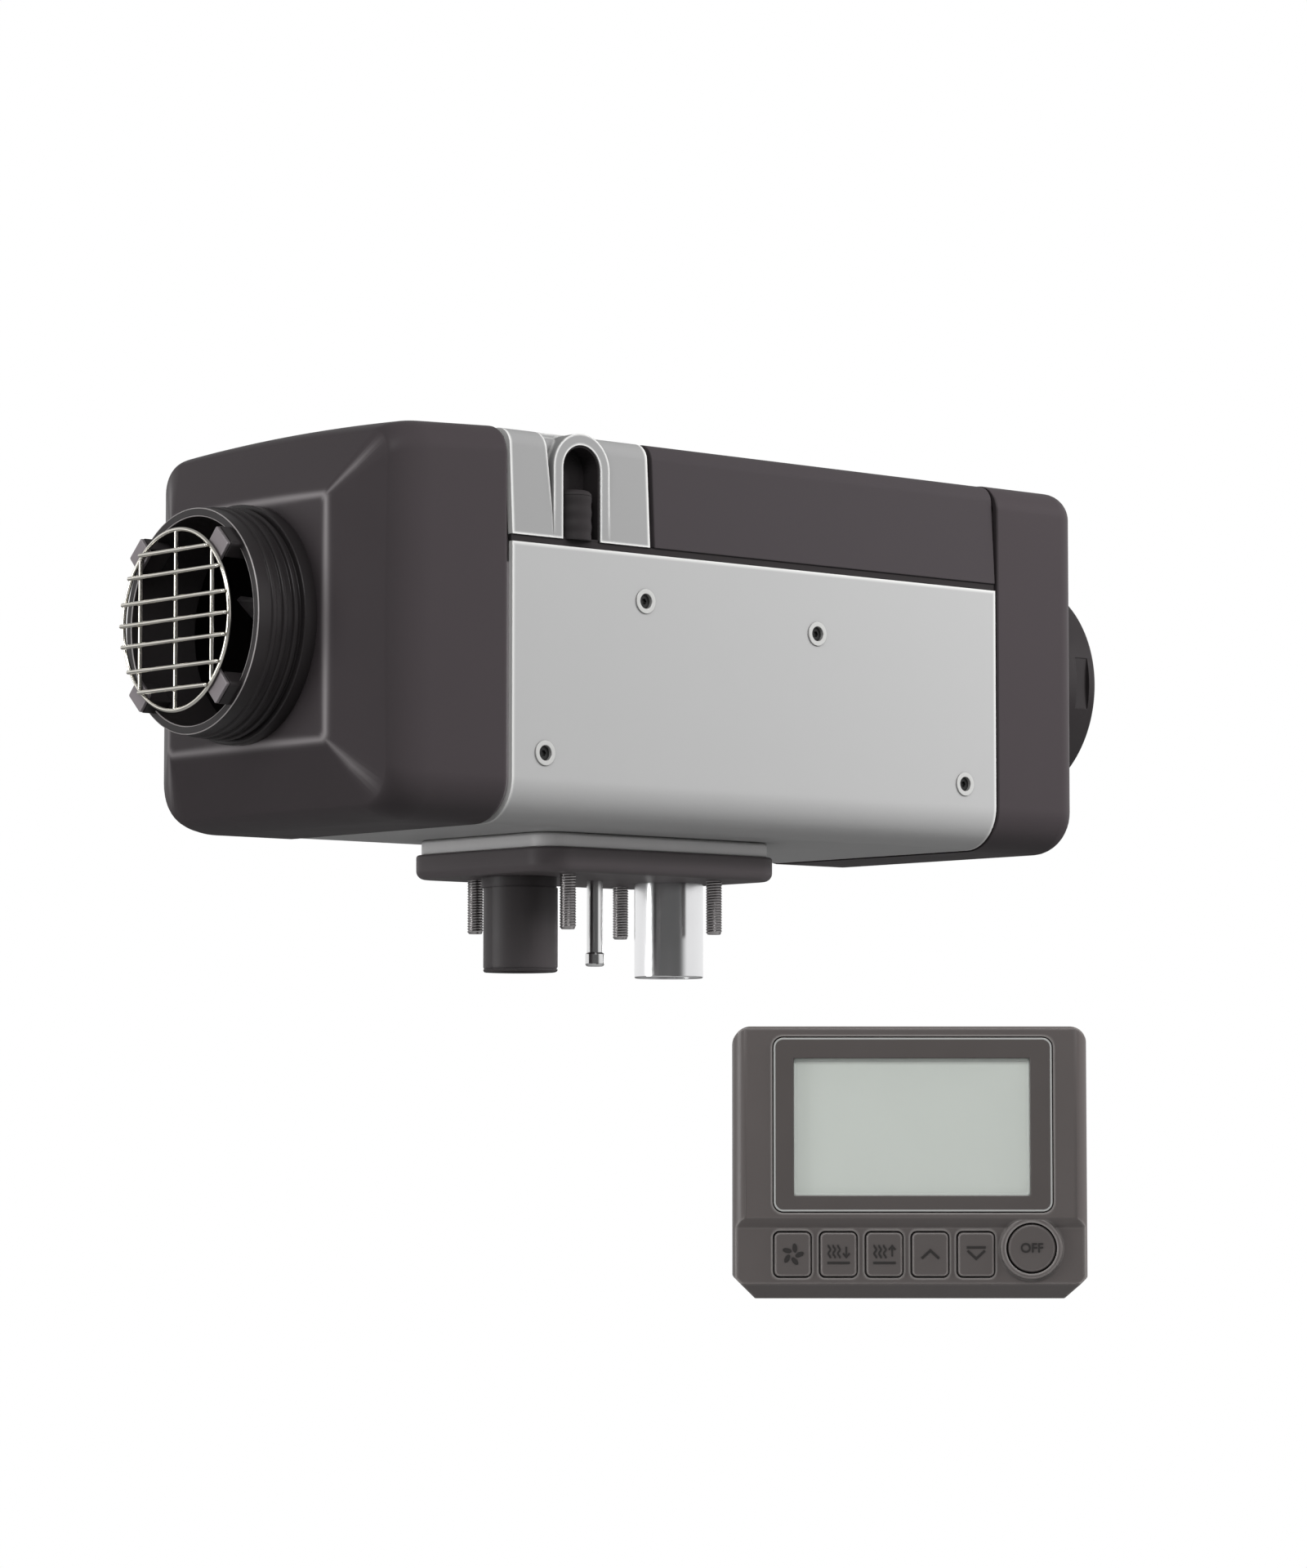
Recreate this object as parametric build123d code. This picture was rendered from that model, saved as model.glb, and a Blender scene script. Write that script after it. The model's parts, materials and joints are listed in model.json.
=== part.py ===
from build123d import *

import math
import os

# Diesel air heater with its control panel, in millimetres.
# Origin: centre of the stud pattern on the underside of the flange seal.
# +X: along the air flow, intake to outlet. +Y: away from the screwed side panel shown. +Z: up.

# ---- heater envelope -------------------------------------------------------------------------
body_width = 140.0
body_height = 140.0
jacket_length = 241.3
stud_centre_to_intake_seam = 99.0
jacket_side_height = 99.0
low_corner_radius = 16.0
high_corner_radius = 10.0
jacket_wall = 2.0
hood_wall = 2.5
seam_gap = 2.2
outlet_seam_gap = 0.8
fit_clearance = 0.3
plane_reach = 0.01  # how near to a plane an edge counts as lying in it
over = 1.0  # how far a cutter runs past the faces that it cuts

# ---- mounting foot ---------------------------------------------------------------------------
seal_thickness = 9.0
seal_length = 116.0
seal_width = 84.0
seal_corner_radius = 12.0
foot_height = 5.5
foot_inset = 2.0
foot_boss_inset = 5.0
foot_boss_height = 12.0
stud_spacing_x = 71.0
stud_spacing_y = 54.0
stud_diameter = 6.0
stud_root_diameter = 5.6
stud_reach = 20.0
stud_depth = 8.0
stud_chamfer = 0.75

# ---- pipes under the flange ------------------------------------------------------------------
pipe_spacing = 73.0
air_stub_diameter = 28.6
air_stub_collar_diameter = 27.8
air_stub_root_diameter = 26.0
air_stub_bore = 22.0
air_stub_reach = 35.0
air_stub_groove_depth = 1.2
air_stub_groove_turns = (120.0, 186.0)
air_stub_collar_length = 4.0
air_stub_round = 1.0
exhaust_diameter = 26.0
exhaust_root_diameter = 25.2
exhaust_bore = 23.6
exhaust_reach = 35.6
fuel_pipe_diameter = 6.0
fuel_pipe_root_diameter = 5.2
fuel_pipe_bore = 2.4
fuel_pipe_depth = 6.0
fuel_pipe_reach = 32.0
fuel_bead_diameter = 7.2
fuel_bead_length = 5.0
fuel_bead_round = 1.0

# ---- intake hood -----------------------------------------------------------------------------
intake_box_length = 46.6
intake_front_depth = 16.0
intake_side_inset = 23.3
intake_top_inset = 27.0
intake_corner_round = 9.0
intake_ridge_round = 2.2
intake_face_corner = 2.5
pyramid_wall_share = 0.6  # the pyramid's sloping walls, seen across the body
pyramid_base_share = 0.8  # how far the inside starts to slope behind the outside
neck_diameter = 80.0
neck_wall = 3.3
neck_length = 23.2
neck_ridge_height = 1.3
neck_ridge_width = 2.2
neck_ridge_pitch = 4.4
neck_ridge_count = 3
neck_ridge_fade = 0.25
neck_ridge_start = 6.7
neck_base_diameter = 85.0
neck_base_length = 5.2
neck_flange = 1.2
neck_flange_thickness = 2.0

# ---- intake grille ---------------------------------------------------------------------------
wire_diameter = 1.5
grille_ring_diameter = 65.0
grille_stand_off = 6.6
grille_rows = (-24.3, -16.6, -7.5, 0.0, 7.5, 16.6, 24.3)
grille_columns = (-21.6, 0.0, 21.6)
clip_angle = 46.5
clip_width = 9.6
clip_thickness = 1.4
clip_inner_radius = 30.0
clip_outer_radius = 38.2
lug_width = 10.4
lug_outer_radius = 38.6
lug_chamfer = 1.5
lug_seat = 5.0  # how far the lugs run along the inside of the neck

# ---- outlet hood -----------------------------------------------------------------------------
outlet_length = 45.2
outlet_corner_round = 11.0
outlet_collar_diameter = 89.0
outlet_collar_seat_diameter = 88.0
outlet_collar_wall = 3.0
outlet_collar_length = 35.5
outlet_collar_round = 1.4
outlet_flange = 2.0
outlet_flange_thickness = 2.0
outlet_window_length = 6.7
outlet_window_height = 20.0
outlet_window_margin = 4.1
outlet_window_depth = 1.4

# ---- upper shells ----------------------------------------------------------------------------
saddle_length = 66.0
upper_gap = 2.6
upper_wall = 2.5
upper_draft = 2.0
upper_corner_radius = 7.0
tongue_depth = 7.0
tongue_thickness = 2.4
arch_offset = 34.0
arch_inner_radius = 8.7
arch_rim = 4.2
arch_depth = 18.0
arch_slot_width = 2.6
arch_slot_depth = 1.8
arch_slot_height = 7.0  # from the saddle's lower edge to the slot's pointed end
arch_slot_length = 8.0  # how far the slots run inwards over the top
grommet_recess = 9.0
grommet_thickness = 6.0
arch_lining = 0.8
arch_lining_recess = 0.6
blank_recess = 3.0
boot_diameter = 14.0
boot_height = 18.0
boot_side_gap = 0.6
boot_depth = 2.0
seal_strip_recess = 0.7
joint_strip_lap = 4.0
joint_strip_thickness = 1.2

# ---- side screws: distance from the intake seam, height above the body floor -------------------
screw_places = ((17.1, 24.8), (63.8, 82.0), (147.6, 76.0), (223.7, 23.9))
eyelet_diameter = 9.0
eyelet_flange = 0.5
eyelet_barrel_diameter = 6.6
screw_head_diameter = 5.2
screw_head_gap = 0.1
screw_head_height = 1.2
screw_shank_diameter = 3.0
screw_driver_size = 1.2
screw_driver_depth = 0.8
liner_thickness = 1.5
liner_gap = 1.0
screw_length = 3.2

# ---- blower and motor ------------------------------------------------------------------------
shaft_diameter = 5.0
running_gap = 0.03
motor_diameter = 56.0
motor_length = 60.0
motor_can_wall = 2.0
motor_to_intake_seam = 5.0
bearing_outer_diameter = 16.0
bearing_width = 5.0
magnet_thickness = 4.0
armature_diameter = 34.0
armature_length = 36.0
armature_slots = 6
armature_slot_width = 2.4
armature_slot_depth = 5.0
magnet_split = 8.0
fan_diameter = 92.0
fan_hub_diameter = 30.0
fan_width = 26.0
fan_blades = 9
fan_blade_thickness = 2.0
fan_blade_pitch = 38.0
fan_blade_root = 4.0
fan_hub_round = 5.0
fan_to_motor = 6.0
fan_guide_gap = 2.0
shaft_nose = 4.0
shaft_tail = 2.0
housing_diameter = 100.0
housing_wall = 3.0
housing_length = 38.0
blower_wheel_diameter = 76.0
blower_wheel_width = 14.0
blower_blades = 16
blower_blade_thickness = 1.4
blower_blade_depth = 18.0
blower_plate = 2.0
blower_hub_diameter = 16.0
blower_side_gap = 2.0
blower_neck_depth = 6.0
frame_length = 18.0
frame_plate = 2.5
frame_wall = 2.0

# ---- burner and heat exchanger ---------------------------------------------------------------
burner_head_thickness = 10.0
burner_head_diameter = 88.0
burner_head_flange = 3.0
burner_air_hole = 24.0
gasket_thickness = 1.0
gasket_width = 11.5
flange_trim = 0.5
chamber_diameter = 62.0
chamber_wall = 1.5
chamber_length = 74.0
chamber_holes = 12
chamber_hole_diameter = 4.0
chamber_hole_place = 14.0
gauze_thickness = 2.0
exchanger_inner_diameter = 80.0
exchanger_wall = 4.0
exchanger_length = 126.0
exchanger_fins = 36
exchanger_fin_thickness = 1.8
exchanger_fin_envelope = 118.0
exchanger_fin_corner = 22.0
exchanger_fin_start = 8.0
exchanger_fin_end = 6.0
exchanger_port_block = 36.0
glow_plug_diameter = 8.0
glow_plug_inner_end = 18.0
glow_plug_reach = 5.0
glow_plug_terminal = 4.0
sensor_diameter = 10.0
sensor_height = 6.0
sensor_place = 75.0
sensor_strap = (16.0, 8.0, 1.5)

# ---- control unit ----------------------------------------------------------------------------
ecu_length = 46.0
ecu_width = 92.0
ecu_height = 22.0
ecu_wall = 2.0
ecu_board_thickness = 1.6
ecu_above_motor = 6.0
ecu_behind_seam = 4.0
ecu_leg_width = 28.0
ecu_leg_length = 6.0
ecu_leg_inset = 4.0
ecu_chip_size = 9.0
ecu_chip_height = 5.0
ecu_chips = ((12.0, -25.0), (28.0, -5.0), (16.0, 22.0))

# ---- control panel ---------------------------------------------------------------------------
panel_yaw = 40.7
panel_place = (-26.0, -197.0, -104.5)
panel_width = 120.0
panel_height = 92.0
panel_depth = 22.0
panel_front_depth = 13.0
panel_top_corner = 6.0
panel_low_chamfer = 7.5
panel_outline_round = 0.8
panel_wall = 2.2
panel_side_round = 5.0
panel_top_round = 1.5
panel_low_bevel = 5.0
panel_low_bevel_depth = 7.0
panel_low_ledge = 6.0  # height of the thicker bottom edge that backs the bevel
panel_low_ledge_depth = 8.0
panel_edge_round = 0.6
display_width = 95.0
display_height = 59.5
display_offset = (0.8, 12.8)
display_corner = 3.6
display_groove = 0.35
bezel_thickness = 2.0
bezel_proud = 0.35
window_width = 80.0
window_height = 46.4
window_offset = (0.5, 12.0)
lens_recess = 0.5
lens_gap = 0.05
window_corner = 0.4
lcd_corner = 0.8
bezel_chamfer = 0.3
lcd_thickness = 2.4
lcd_border = 3.0
strip_top = -18.6
strip_slope = 3.4
strip_depth = 2.2
key_width = 12.2
key_height = 14.8
key_corner = 1.7
key_gap = 0.5
key_round = 0.5
key_proud = 0.9
off_key_rise = 0.6
key_travel = 0.8
key_flange = 1.1
key_flange_gap = 0.1
key_row = -31.0
key_first = -40.0
key_pitch = 15.5
key_count = 5
off_key_diameter = 16.2
off_key_place = (40.8, -28.9)
off_ring_width = 1.9
off_ring_face = -0.5
off_ring_round = 0.6
switch_size = 6.0
switch_height = 3.5
board_thickness = 1.6
board_depth = 10.0
board_side_gap = 0.4
board_hole_gap = 0.5
board_post_diameter = 5.0
board_posts = ((-32.0, 0.0), (32.0, 0.0))
socket_width = 14.0
socket_height = 9.0
socket_length = 8.0
socket_wall = 1.4
socket_gap = 0.1
socket_pins = 4
socket_pin_size = 0.8
socket_pin_pitch = 3.0
socket_pin_recess = 2.0
panel_screw_inset = 7.5
panel_screw_diameter = 3.0
panel_screw_head_diameter = 5.4
panel_screw_head_height = 1.6
panel_screw_head_recess = 0.2
panel_screw_reach = 6.0
panel_screw_slot = (4.0, 0.8, 1.2)
panel_post_diameter = 7.0
panel_back_round = 1.5
led_diameter = 3.0
led_place = (44.6, 22.0)
led_recess = 0.3

# ---- places worked out from the sizes above ----------------------------------------------------
half_width = body_width / 2
hood_proud = hood_wall - jacket_wall  # so that a hood and the jacket share one inside face
floor_z = seal_thickness + foot_height
top_z = floor_z + body_height
axis_z = floor_z + body_height / 2
intake_seam_x = -stud_centre_to_intake_seam
outlet_seam_x = intake_seam_x + jacket_length
jacket_top_z = floor_z + jacket_side_height
upper_low_z = jacket_top_z + upper_gap
intake_box_x = intake_seam_x - intake_box_length
intake_face_x = intake_box_x - intake_front_depth
neck_rim_x = intake_face_x - neck_length
grille_x = neck_rim_x - grille_stand_off
clip_front_x = grille_x + wire_diameter / 2
outlet_end_x = outlet_seam_x + outlet_length
foot_boss_top_z = floor_z + foot_boss_height
air_stub_x = -pipe_spacing / 2
exhaust_x = pipe_spacing / 2
saddle_end_x = intake_seam_x + saddle_length
arch_x = intake_seam_x + arch_offset
arch_outer_radius = arch_inner_radius + arch_rim
arch_centre_z = top_z - arch_outer_radius
inside_y = half_width - jacket_wall
lug_inner_radius = grille_ring_diameter / 2
motor_front_x = intake_seam_x - motor_to_intake_seam
motor_back_x = motor_front_x + motor_length
fan_back_x = motor_front_x - fan_to_motor
housing_front_x = motor_back_x
housing_back_x = housing_front_x + housing_length
head_front_x = housing_back_x + gasket_thickness
head_back_x = head_front_x + burner_head_thickness
head_middle_x = (head_front_x + head_back_x) / 2
exchanger_end_x = head_back_x + exchanger_length
shaft_start_x = fan_back_x - fan_width - shaft_nose
wheel_start_x = housing_front_x + housing_wall + blower_side_gap
fuel_pipe_top_z = axis_z - burner_head_diameter / 2 + fuel_pipe_depth
ecu_low_z = axis_z + motor_diameter / 2 + ecu_above_motor
ecu_front_x = intake_seam_x + seam_gap + ecu_behind_seam
axis_point = (0, 0, axis_z)

yaw = math.radians(panel_yaw)
panel_frame = Plane(
    origin=panel_place,
    x_dir=(math.cos(yaw), -math.sin(yaw), 0),
    z_dir=(-math.sin(yaw), -math.cos(yaw), 0),
)
strip_face = -strip_depth
board_front = -board_depth
board_back = board_front - board_thickness
switch_front = board_front + switch_height
key_front = strip_face + key_proud
key_back = switch_front + key_travel + fit_clearance
panel_inner_face = -panel_wall - strip_depth
bezel_back = bezel_proud - bezel_thickness
key_flange_front = panel_inner_face - key_flange_gap


# ---- helpers -----------------------------------------------------------------------------------
def box(low, high):
    """Block between two corners."""
    size = [b - a for a, b in zip(low, high)]
    centre = [(a + b) / 2 for a, b in zip(low, high)]
    return Pos(*centre) * Box(*size)


def rod_x(diameter, start, end, y=0.0, z=axis_z):
    """Round bar along X."""
    return Pos((start + end) / 2, y, z) * Rot(0, 90, 0) * Cylinder(diameter / 2, abs(end - start))


def rod_y(diameter, start, end, x, z):
    """Round bar along Y."""
    return Pos(x, (start + end) / 2, z) * Rot(90, 0, 0) * Cylinder(diameter / 2, abs(end - start))


def rod_z(diameter, start, end, x=0.0, y=0.0):
    """Round bar along Z."""
    return Pos(x, y, (start + end) / 2) * Cylinder(diameter / 2, abs(end - start))


def tube_x(outer, inner, start, end, z=axis_z):
    """Round tube along X."""
    return rod_x(outer, start, end, z=z) - rod_x(inner, start - over, end + over, z=z)


def ring_face(x, half_y, half_z, low_radius, high_radius):
    """Rounded rectangle across the body at x, centred on the duct axis."""
    points = [
        (-half_y, axis_z - half_z),
        (half_y, axis_z - half_z),
        (half_y, axis_z + half_z),
        (-half_y, axis_z + half_z),
    ]
    radii = [low_radius, low_radius, high_radius, high_radius]
    outline = FilletPolyline(*points, radius=radii, close=True)
    return Pos(x, 0, 0) * (Plane.YZ * make_face(outline))


def body_block(start, end, inset=0.0):
    """Length of the body's outside section, shrunk by inset on every side."""
    face = ring_face(
        start,
        half_width - inset,
        body_height / 2 - inset,
        low_corner_radius - inset,
        high_corner_radius - inset,
    )
    return extrude(face, amount=end - start)


def rounded_plate(length, width, corner, low, high):
    """Plate with round corners, centred on the stud pattern."""
    return extrude(Pos(0, 0, low) * RectangleRounded(length, width, corner), amount=high - low)


def both_sides(piece):
    """The piece and its mirror image across the middle plane."""
    return [piece, mirror(piece, about=Plane.XZ)]


def group(pieces):
    """Several separate solids as one node."""
    solids = [solid for piece in pieces for solid in piece.solids()]
    return Compound(children=solids)


# ---- outer shells ------------------------------------------------------------------------------
def lower_jacket():
    start = intake_seam_x + seam_gap
    end = outlet_seam_x - outlet_seam_gap
    shell = body_block(start, end) - body_block(start - over, end + over, jacket_wall)
    above = box((start - over, -body_width, jacket_top_z), (end + over, body_width, top_z + over))
    boss_gap = foot_boss_inset - fit_clearance
    opening = rounded_plate(
        seal_length - 2 * boss_gap,
        seal_width - 2 * boss_gap,
        seal_corner_radius - boss_gap / 2,
        floor_z - over,
        floor_z + jacket_wall + over,
    )
    shell = shell - above - opening
    for x, z in screw_points():
        shell = shell - rod_y(eyelet_barrel_diameter, -half_width - over, half_width + over, x, z)
    return shell


def screw_points():
    """Screw axes as x, z pairs, the same on both sides."""
    return [(intake_seam_x + along, floor_z + up) for along, up in screw_places]


def intake_solid(inset, end):
    """Hood body with its cut-off pyramid front; inset shrinks it to the inside shape."""
    grow = hood_proud - inset
    tip_inset = inset * pyramid_wall_share
    half_y = half_width + grow
    half_z = body_height / 2 + grow
    low = low_corner_radius + grow
    high = high_corner_radius + grow
    base_x = intake_box_x + inset * pyramid_base_share
    base = ring_face(base_x, half_y, half_z, low, high)
    tip = ring_face(
        intake_face_x + inset,
        half_width - intake_side_inset - tip_inset,
        body_height / 2 - intake_top_inset - tip_inset,
        intake_face_corner,
        intake_face_corner,
    )
    return extrude(base, amount=end - base_x) + loft([base, tip])


def loop_edges(solid, x):
    """Edges lying in the plane across the body at x."""
    return solid.edges().filter_by_position(Axis.X, x - plane_reach, x + plane_reach)


def intake_hood():
    """Tapered cover of the intake side, with a round hole for the duct neck."""
    outside = intake_solid(0.0, intake_seam_x)
    outside = fillet(loop_edges(outside, intake_box_x), intake_corner_round)
    outside = fillet(loop_edges(outside, intake_face_x), intake_ridge_round)
    inside = intake_solid(hood_wall, intake_seam_x + over)
    hole = rod_x(neck_diameter, intake_face_x - over, intake_face_x + 2 * hood_wall)
    return outside - inside - hole


def intake_neck():
    """Duct neck: lugs for the clips, a plain land at the rim, ridges for the hose, and a base."""
    back = intake_face_x + hood_wall
    neck = rod_x(neck_diameter, neck_rim_x, back)
    neck += rod_x(neck_base_diameter, intake_face_x - neck_base_length, intake_face_x)
    neck += rod_x(neck_diameter + 2 * neck_flange, back, back + neck_flange_thickness)
    first = intake_face_x - neck_ridge_start - neck_ridge_width / 2
    for index in range(neck_ridge_count):
        centre = first - neck_ridge_pitch * index
        height = neck_ridge_height * (1 - neck_ridge_fade * index)
        neck += rod_x(
            neck_diameter + 2 * height,
            centre - neck_ridge_width / 2,
            centre + neck_ridge_width / 2,
        )
    lug_start = clip_front_x + clip_thickness
    lug = box(
        (lug_start, -lug_width / 2, lug_inner_radius),
        (neck_rim_x + lug_seat, lug_width / 2, lug_outer_radius),
    )
    lug = chamfer(lug.edges().filter_by(Axis.X).group_by(Axis.Z)[-1], lug_chamfer)
    for turn in clip_turns():
        neck += around_axis(lug, turn)
    bore = rod_x(neck_diameter - 2 * neck_wall, neck_rim_x + lug_seat, back + 2 * neck_flange_thickness)
    mouth = rod_x(neck_diameter - 2 * neck_wall, neck_rim_x - over, neck_rim_x + lug_seat)
    for turn in clip_turns():
        mouth = mouth - around_axis(lug, turn)
    ring_way = rod_x(grille_ring_diameter, clip_front_x, neck_rim_x + lug_seat + over)
    return neck - bore - mouth - ring_way


def outlet_box(start, end, grow):
    """Outlet hood's section, grown or shrunk, between two places."""
    face = ring_face(
        start,
        half_width + grow,
        body_height / 2 + grow,
        low_corner_radius + grow,
        high_corner_radius + grow,
    )
    return extrude(face, amount=end - start)


def outlet_hood():
    """Rounded cover of the outlet side, with a round hole for the duct collar."""
    outside = outlet_box(outlet_seam_x, outlet_end_x, hood_proud)
    outside = fillet(loop_edges(outside, outlet_end_x), outlet_corner_round)
    inside = outlet_box(outlet_seam_x - over, outlet_end_x - hood_wall, hood_proud - hood_wall)
    return outside - inside - rod_x(outlet_collar_seat_diameter, outlet_seam_x, outlet_end_x + over)


def outlet_collar():
    """Duct collar, held in the outlet hood by a flange, with a shallow window on each side."""
    end = outlet_end_x + outlet_collar_length
    back = outlet_end_x - hood_wall
    collar = rod_x(outlet_collar_diameter, outlet_end_x, end)
    collar = fillet(loop_edges(collar, end), outlet_collar_round)
    collar = collar + rod_x(outlet_collar_seat_diameter, back, outlet_end_x)
    flange_diameter = outlet_collar_diameter + 2 * outlet_flange
    collar = collar + rod_x(flange_diameter, back - outlet_flange_thickness, back)
    window_end = end - outlet_window_margin
    window_start = window_end - outlet_window_length
    window_half = outlet_window_height / 2
    window = box(
        (window_start, outlet_collar_diameter / 2 - outlet_window_depth, axis_z - window_half),
        (window_end, half_width, axis_z + window_half),
    )
    for cutter in both_sides(window):
        collar = collar - cutter
    bore_diameter = outlet_collar_diameter - 2 * outlet_collar_wall
    return collar - rod_x(bore_diameter, outlet_seam_x, end + over)


def upper_section(x, inset):
    """Upper shell outline: sides lean in by the draft towards a rounded top."""
    low = upper_low_z
    foot = half_width - inset
    head = half_width - upper_draft - inset
    radius = upper_corner_radius - inset
    points = [(-foot, low), (foot, low), (head, top_z - inset), (-head, top_z - inset)]
    outline = FilletPolyline(*points, radius=[0, 0, radius, radius], close=True)
    return Pos(x, 0, 0) * (Plane.YZ * make_face(outline))


def upper_shell(start, end):
    """Bridge between the jacket's two sides, open below."""
    length = end - start
    outside = extrude(upper_section(start, 0.0), amount=length)
    inside = extrude(upper_section(start - over, upper_wall), amount=length + 2 * over)
    return outside - inside


def tongues(start, end):
    """Strips on both sides that reach down inside the jacket."""
    outer = inside_y - fit_clearance
    strip = box(
        (start, outer - tongue_thickness, jacket_top_z - tongue_depth),
        (end, outer, upper_low_z + tongue_depth),
    )
    return both_sides(strip)


def arch_block(radius, start_y, end_y, low):
    """Arch-shaped bar along Y."""
    straight = box((arch_x - radius, start_y, low), (arch_x + radius, end_y, arch_centre_z))
    return straight + rod_y(2 * radius, start_y, end_y, arch_x, arch_centre_z)


def arch_slots(start, end):
    """Wedge-shaped slots on the intake side of the arches, cut to an even depth."""
    edge = arch_x - arch_outer_radius
    points = [
        (edge, upper_low_z + arch_slot_height),
        (arch_x, arch_centre_z),
        (arch_x, top_z + over),
        (edge - arch_slot_width, top_z + over),
    ]
    face = make_face(Polyline(*points, close=True))
    slots = extrude(Plane.XZ * face, amount=half_width + over, both=True)
    inner = half_width - arch_slot_length
    middle = box((start, -inner, upper_low_z), (end, inner, top_z + 2 * over))
    return slots - middle - extrude(upper_section(start, arch_slot_depth), amount=end - start)


def upper_saddle():
    start = intake_seam_x + seam_gap
    end = saddle_end_x
    shell = upper_shell(start, end) - arch_slots(start, end)
    for strip in tongues(intake_seam_x + frame_length, end):
        shell = shell + strip
    for side in (-1, 1):
        edge = side * half_width
        depth = side * (half_width - arch_depth)
        low, high = sorted((edge, depth))
        shell = shell + arch_block(arch_outer_radius, low, high, upper_low_z)
        low, high = sorted((edge + side * over, depth - side * over))
        foot = jacket_top_z - tongue_depth - over
        shell = shell - arch_block(arch_inner_radius, low, high, foot)
    return shell


def top_cover():
    start = saddle_end_x + seam_gap
    end = outlet_seam_x - outlet_seam_gap
    shell = upper_shell(start, end)
    for strip in tongues(start, outlet_seam_x - frame_length):
        shell = shell + strip
    return shell


def joint_strip():
    """Strip under the joint between the saddle and the top cover, above their tongues."""
    start = saddle_end_x - joint_strip_lap
    end = saddle_end_x + seam_gap + joint_strip_lap
    outer = extrude(upper_section(start, upper_wall), amount=end - start)
    inner_inset = upper_wall + joint_strip_thickness
    inner = extrude(upper_section(start - over, inner_inset), amount=end - start + 2 * over)
    low = upper_low_z + tongue_depth + fit_clearance
    below = box((start - over, -half_width, upper_low_z - over), (end + over, half_width, low))
    return outer - inner - below


def edge_seals():
    """Dark rubber strips in the joints between the jacket and the two upper shells."""
    outer = half_width - seal_strip_recess
    strip = box(
        (intake_seam_x + seam_gap, inside_y, jacket_top_z),
        (outlet_seam_x - outlet_seam_gap, outer, upper_low_z),
    )
    return group(both_sides(strip) + [joint_strip()])


def cable_grommet():
    """Rubber plug deep in the near arch, its lining, and the boot that the harness leaves by."""
    front = -half_width + grommet_recess
    back = front + grommet_thickness
    low = upper_low_z
    lining_front = -half_width + arch_lining_recess
    plug = arch_block(arch_inner_radius, lining_front, back, low)
    plug = plug - arch_block(arch_inner_radius - arch_lining, lining_front - over, front, low - over)
    boot_y = front - boot_diameter / 2 + boot_depth
    boot_x = arch_x - arch_inner_radius + boot_diameter / 2 + boot_side_gap
    boot = rod_z(boot_diameter, low, low + boot_height, boot_x, boot_y)
    boot = fillet(boot.edges().group_by(Axis.Z)[-1], boot_diameter / 6)
    return plug + boot


def arch_blank():
    """Rubber plug that closes the unused arch on the far side."""
    front = half_width - blank_recess
    return arch_block(arch_inner_radius, front - grommet_thickness, front, upper_low_z)


def eyelets():
    """Flanged rings pressed into the jacket around each screw."""
    rings = []
    for x, z in screw_points():
        flange = rod_y(eyelet_diameter, half_width, half_width + eyelet_flange, x, z)
        barrel = rod_y(eyelet_barrel_diameter, inside_y, half_width, x, z)
        hole_diameter = screw_head_diameter + 2 * screw_head_gap
        hole = rod_y(hole_diameter, inside_y - over, half_width + over, x, z)
        rings += both_sides(flange + barrel - hole)
    return group(rings)


def side_screws():
    """Socket-headed screws, sunk in the eyelets, that hold the jacket to the liners."""
    screws = []
    for x, z in screw_points():
        head_top = inside_y + screw_head_height
        head = rod_y(screw_head_diameter, inside_y, head_top, x, z)
        shank = rod_y(screw_shank_diameter, inside_y - screw_length, inside_y, x, z)
        driver = extrude(RegularPolygon(screw_driver_size, 6), amount=screw_driver_depth)
        driver = Pos(x, head_top, z) * Rot(90, 0, 0) * driver
        screws += both_sides(head + shank - driver)
    return group(screws)


def side_liners():
    """Heat-shield sheets behind the jacket's sides, which the side screws thread into."""
    frame_reach = frame_length / 2 + liner_gap
    sheet = box(
        (intake_seam_x + frame_reach, inside_y - liner_thickness, floor_z + low_corner_radius),
        (outlet_seam_x - frame_reach, inside_y, jacket_top_z - tongue_depth - liner_gap),
    )
    for x, z in screw_points():
        sheet = sheet - rod_y(screw_shank_diameter, 0, half_width, x, z)
    return group(both_sides(sheet))


# ---- intake grille -----------------------------------------------------------------------------
def grille_ring():
    """Round wire that frames the grille."""
    path_radius = (grille_ring_diameter - wire_diameter) / 2
    return Pos(grille_x, 0, axis_z) * Rot(0, 90, 0) * Torus(path_radius, wire_diameter / 2)


def grille_bars():
    """Upright wires in the ring's plane, and level wires that lie across their front."""
    reach = (grille_ring_diameter - wire_diameter) / 2
    bars = []
    for offset in grille_rows:
        half = math.sqrt(reach**2 - offset**2)
        bars.append(rod_y(wire_diameter, -half, half, grille_x - wire_diameter, axis_z + offset))
    for offset in grille_columns:
        half = math.sqrt(reach**2 - offset**2)
        bars.append(rod_z(wire_diameter, axis_z - half, axis_z + half, grille_x, offset))
    ring = grille_ring()
    return group([bar - ring for bar in bars])


def clip_turns():
    """Turns about the duct axis that bring an upright piece to each corner of the grille."""
    return (90 - clip_angle, clip_angle - 90, 90 + clip_angle, -90 - clip_angle)


def around_axis(piece, turn):
    """Turns a piece drawn upright at the origin, and moves it to the duct axis."""
    return Pos(*axis_point) * Rot(turn, 0, 0) * piece


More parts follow.
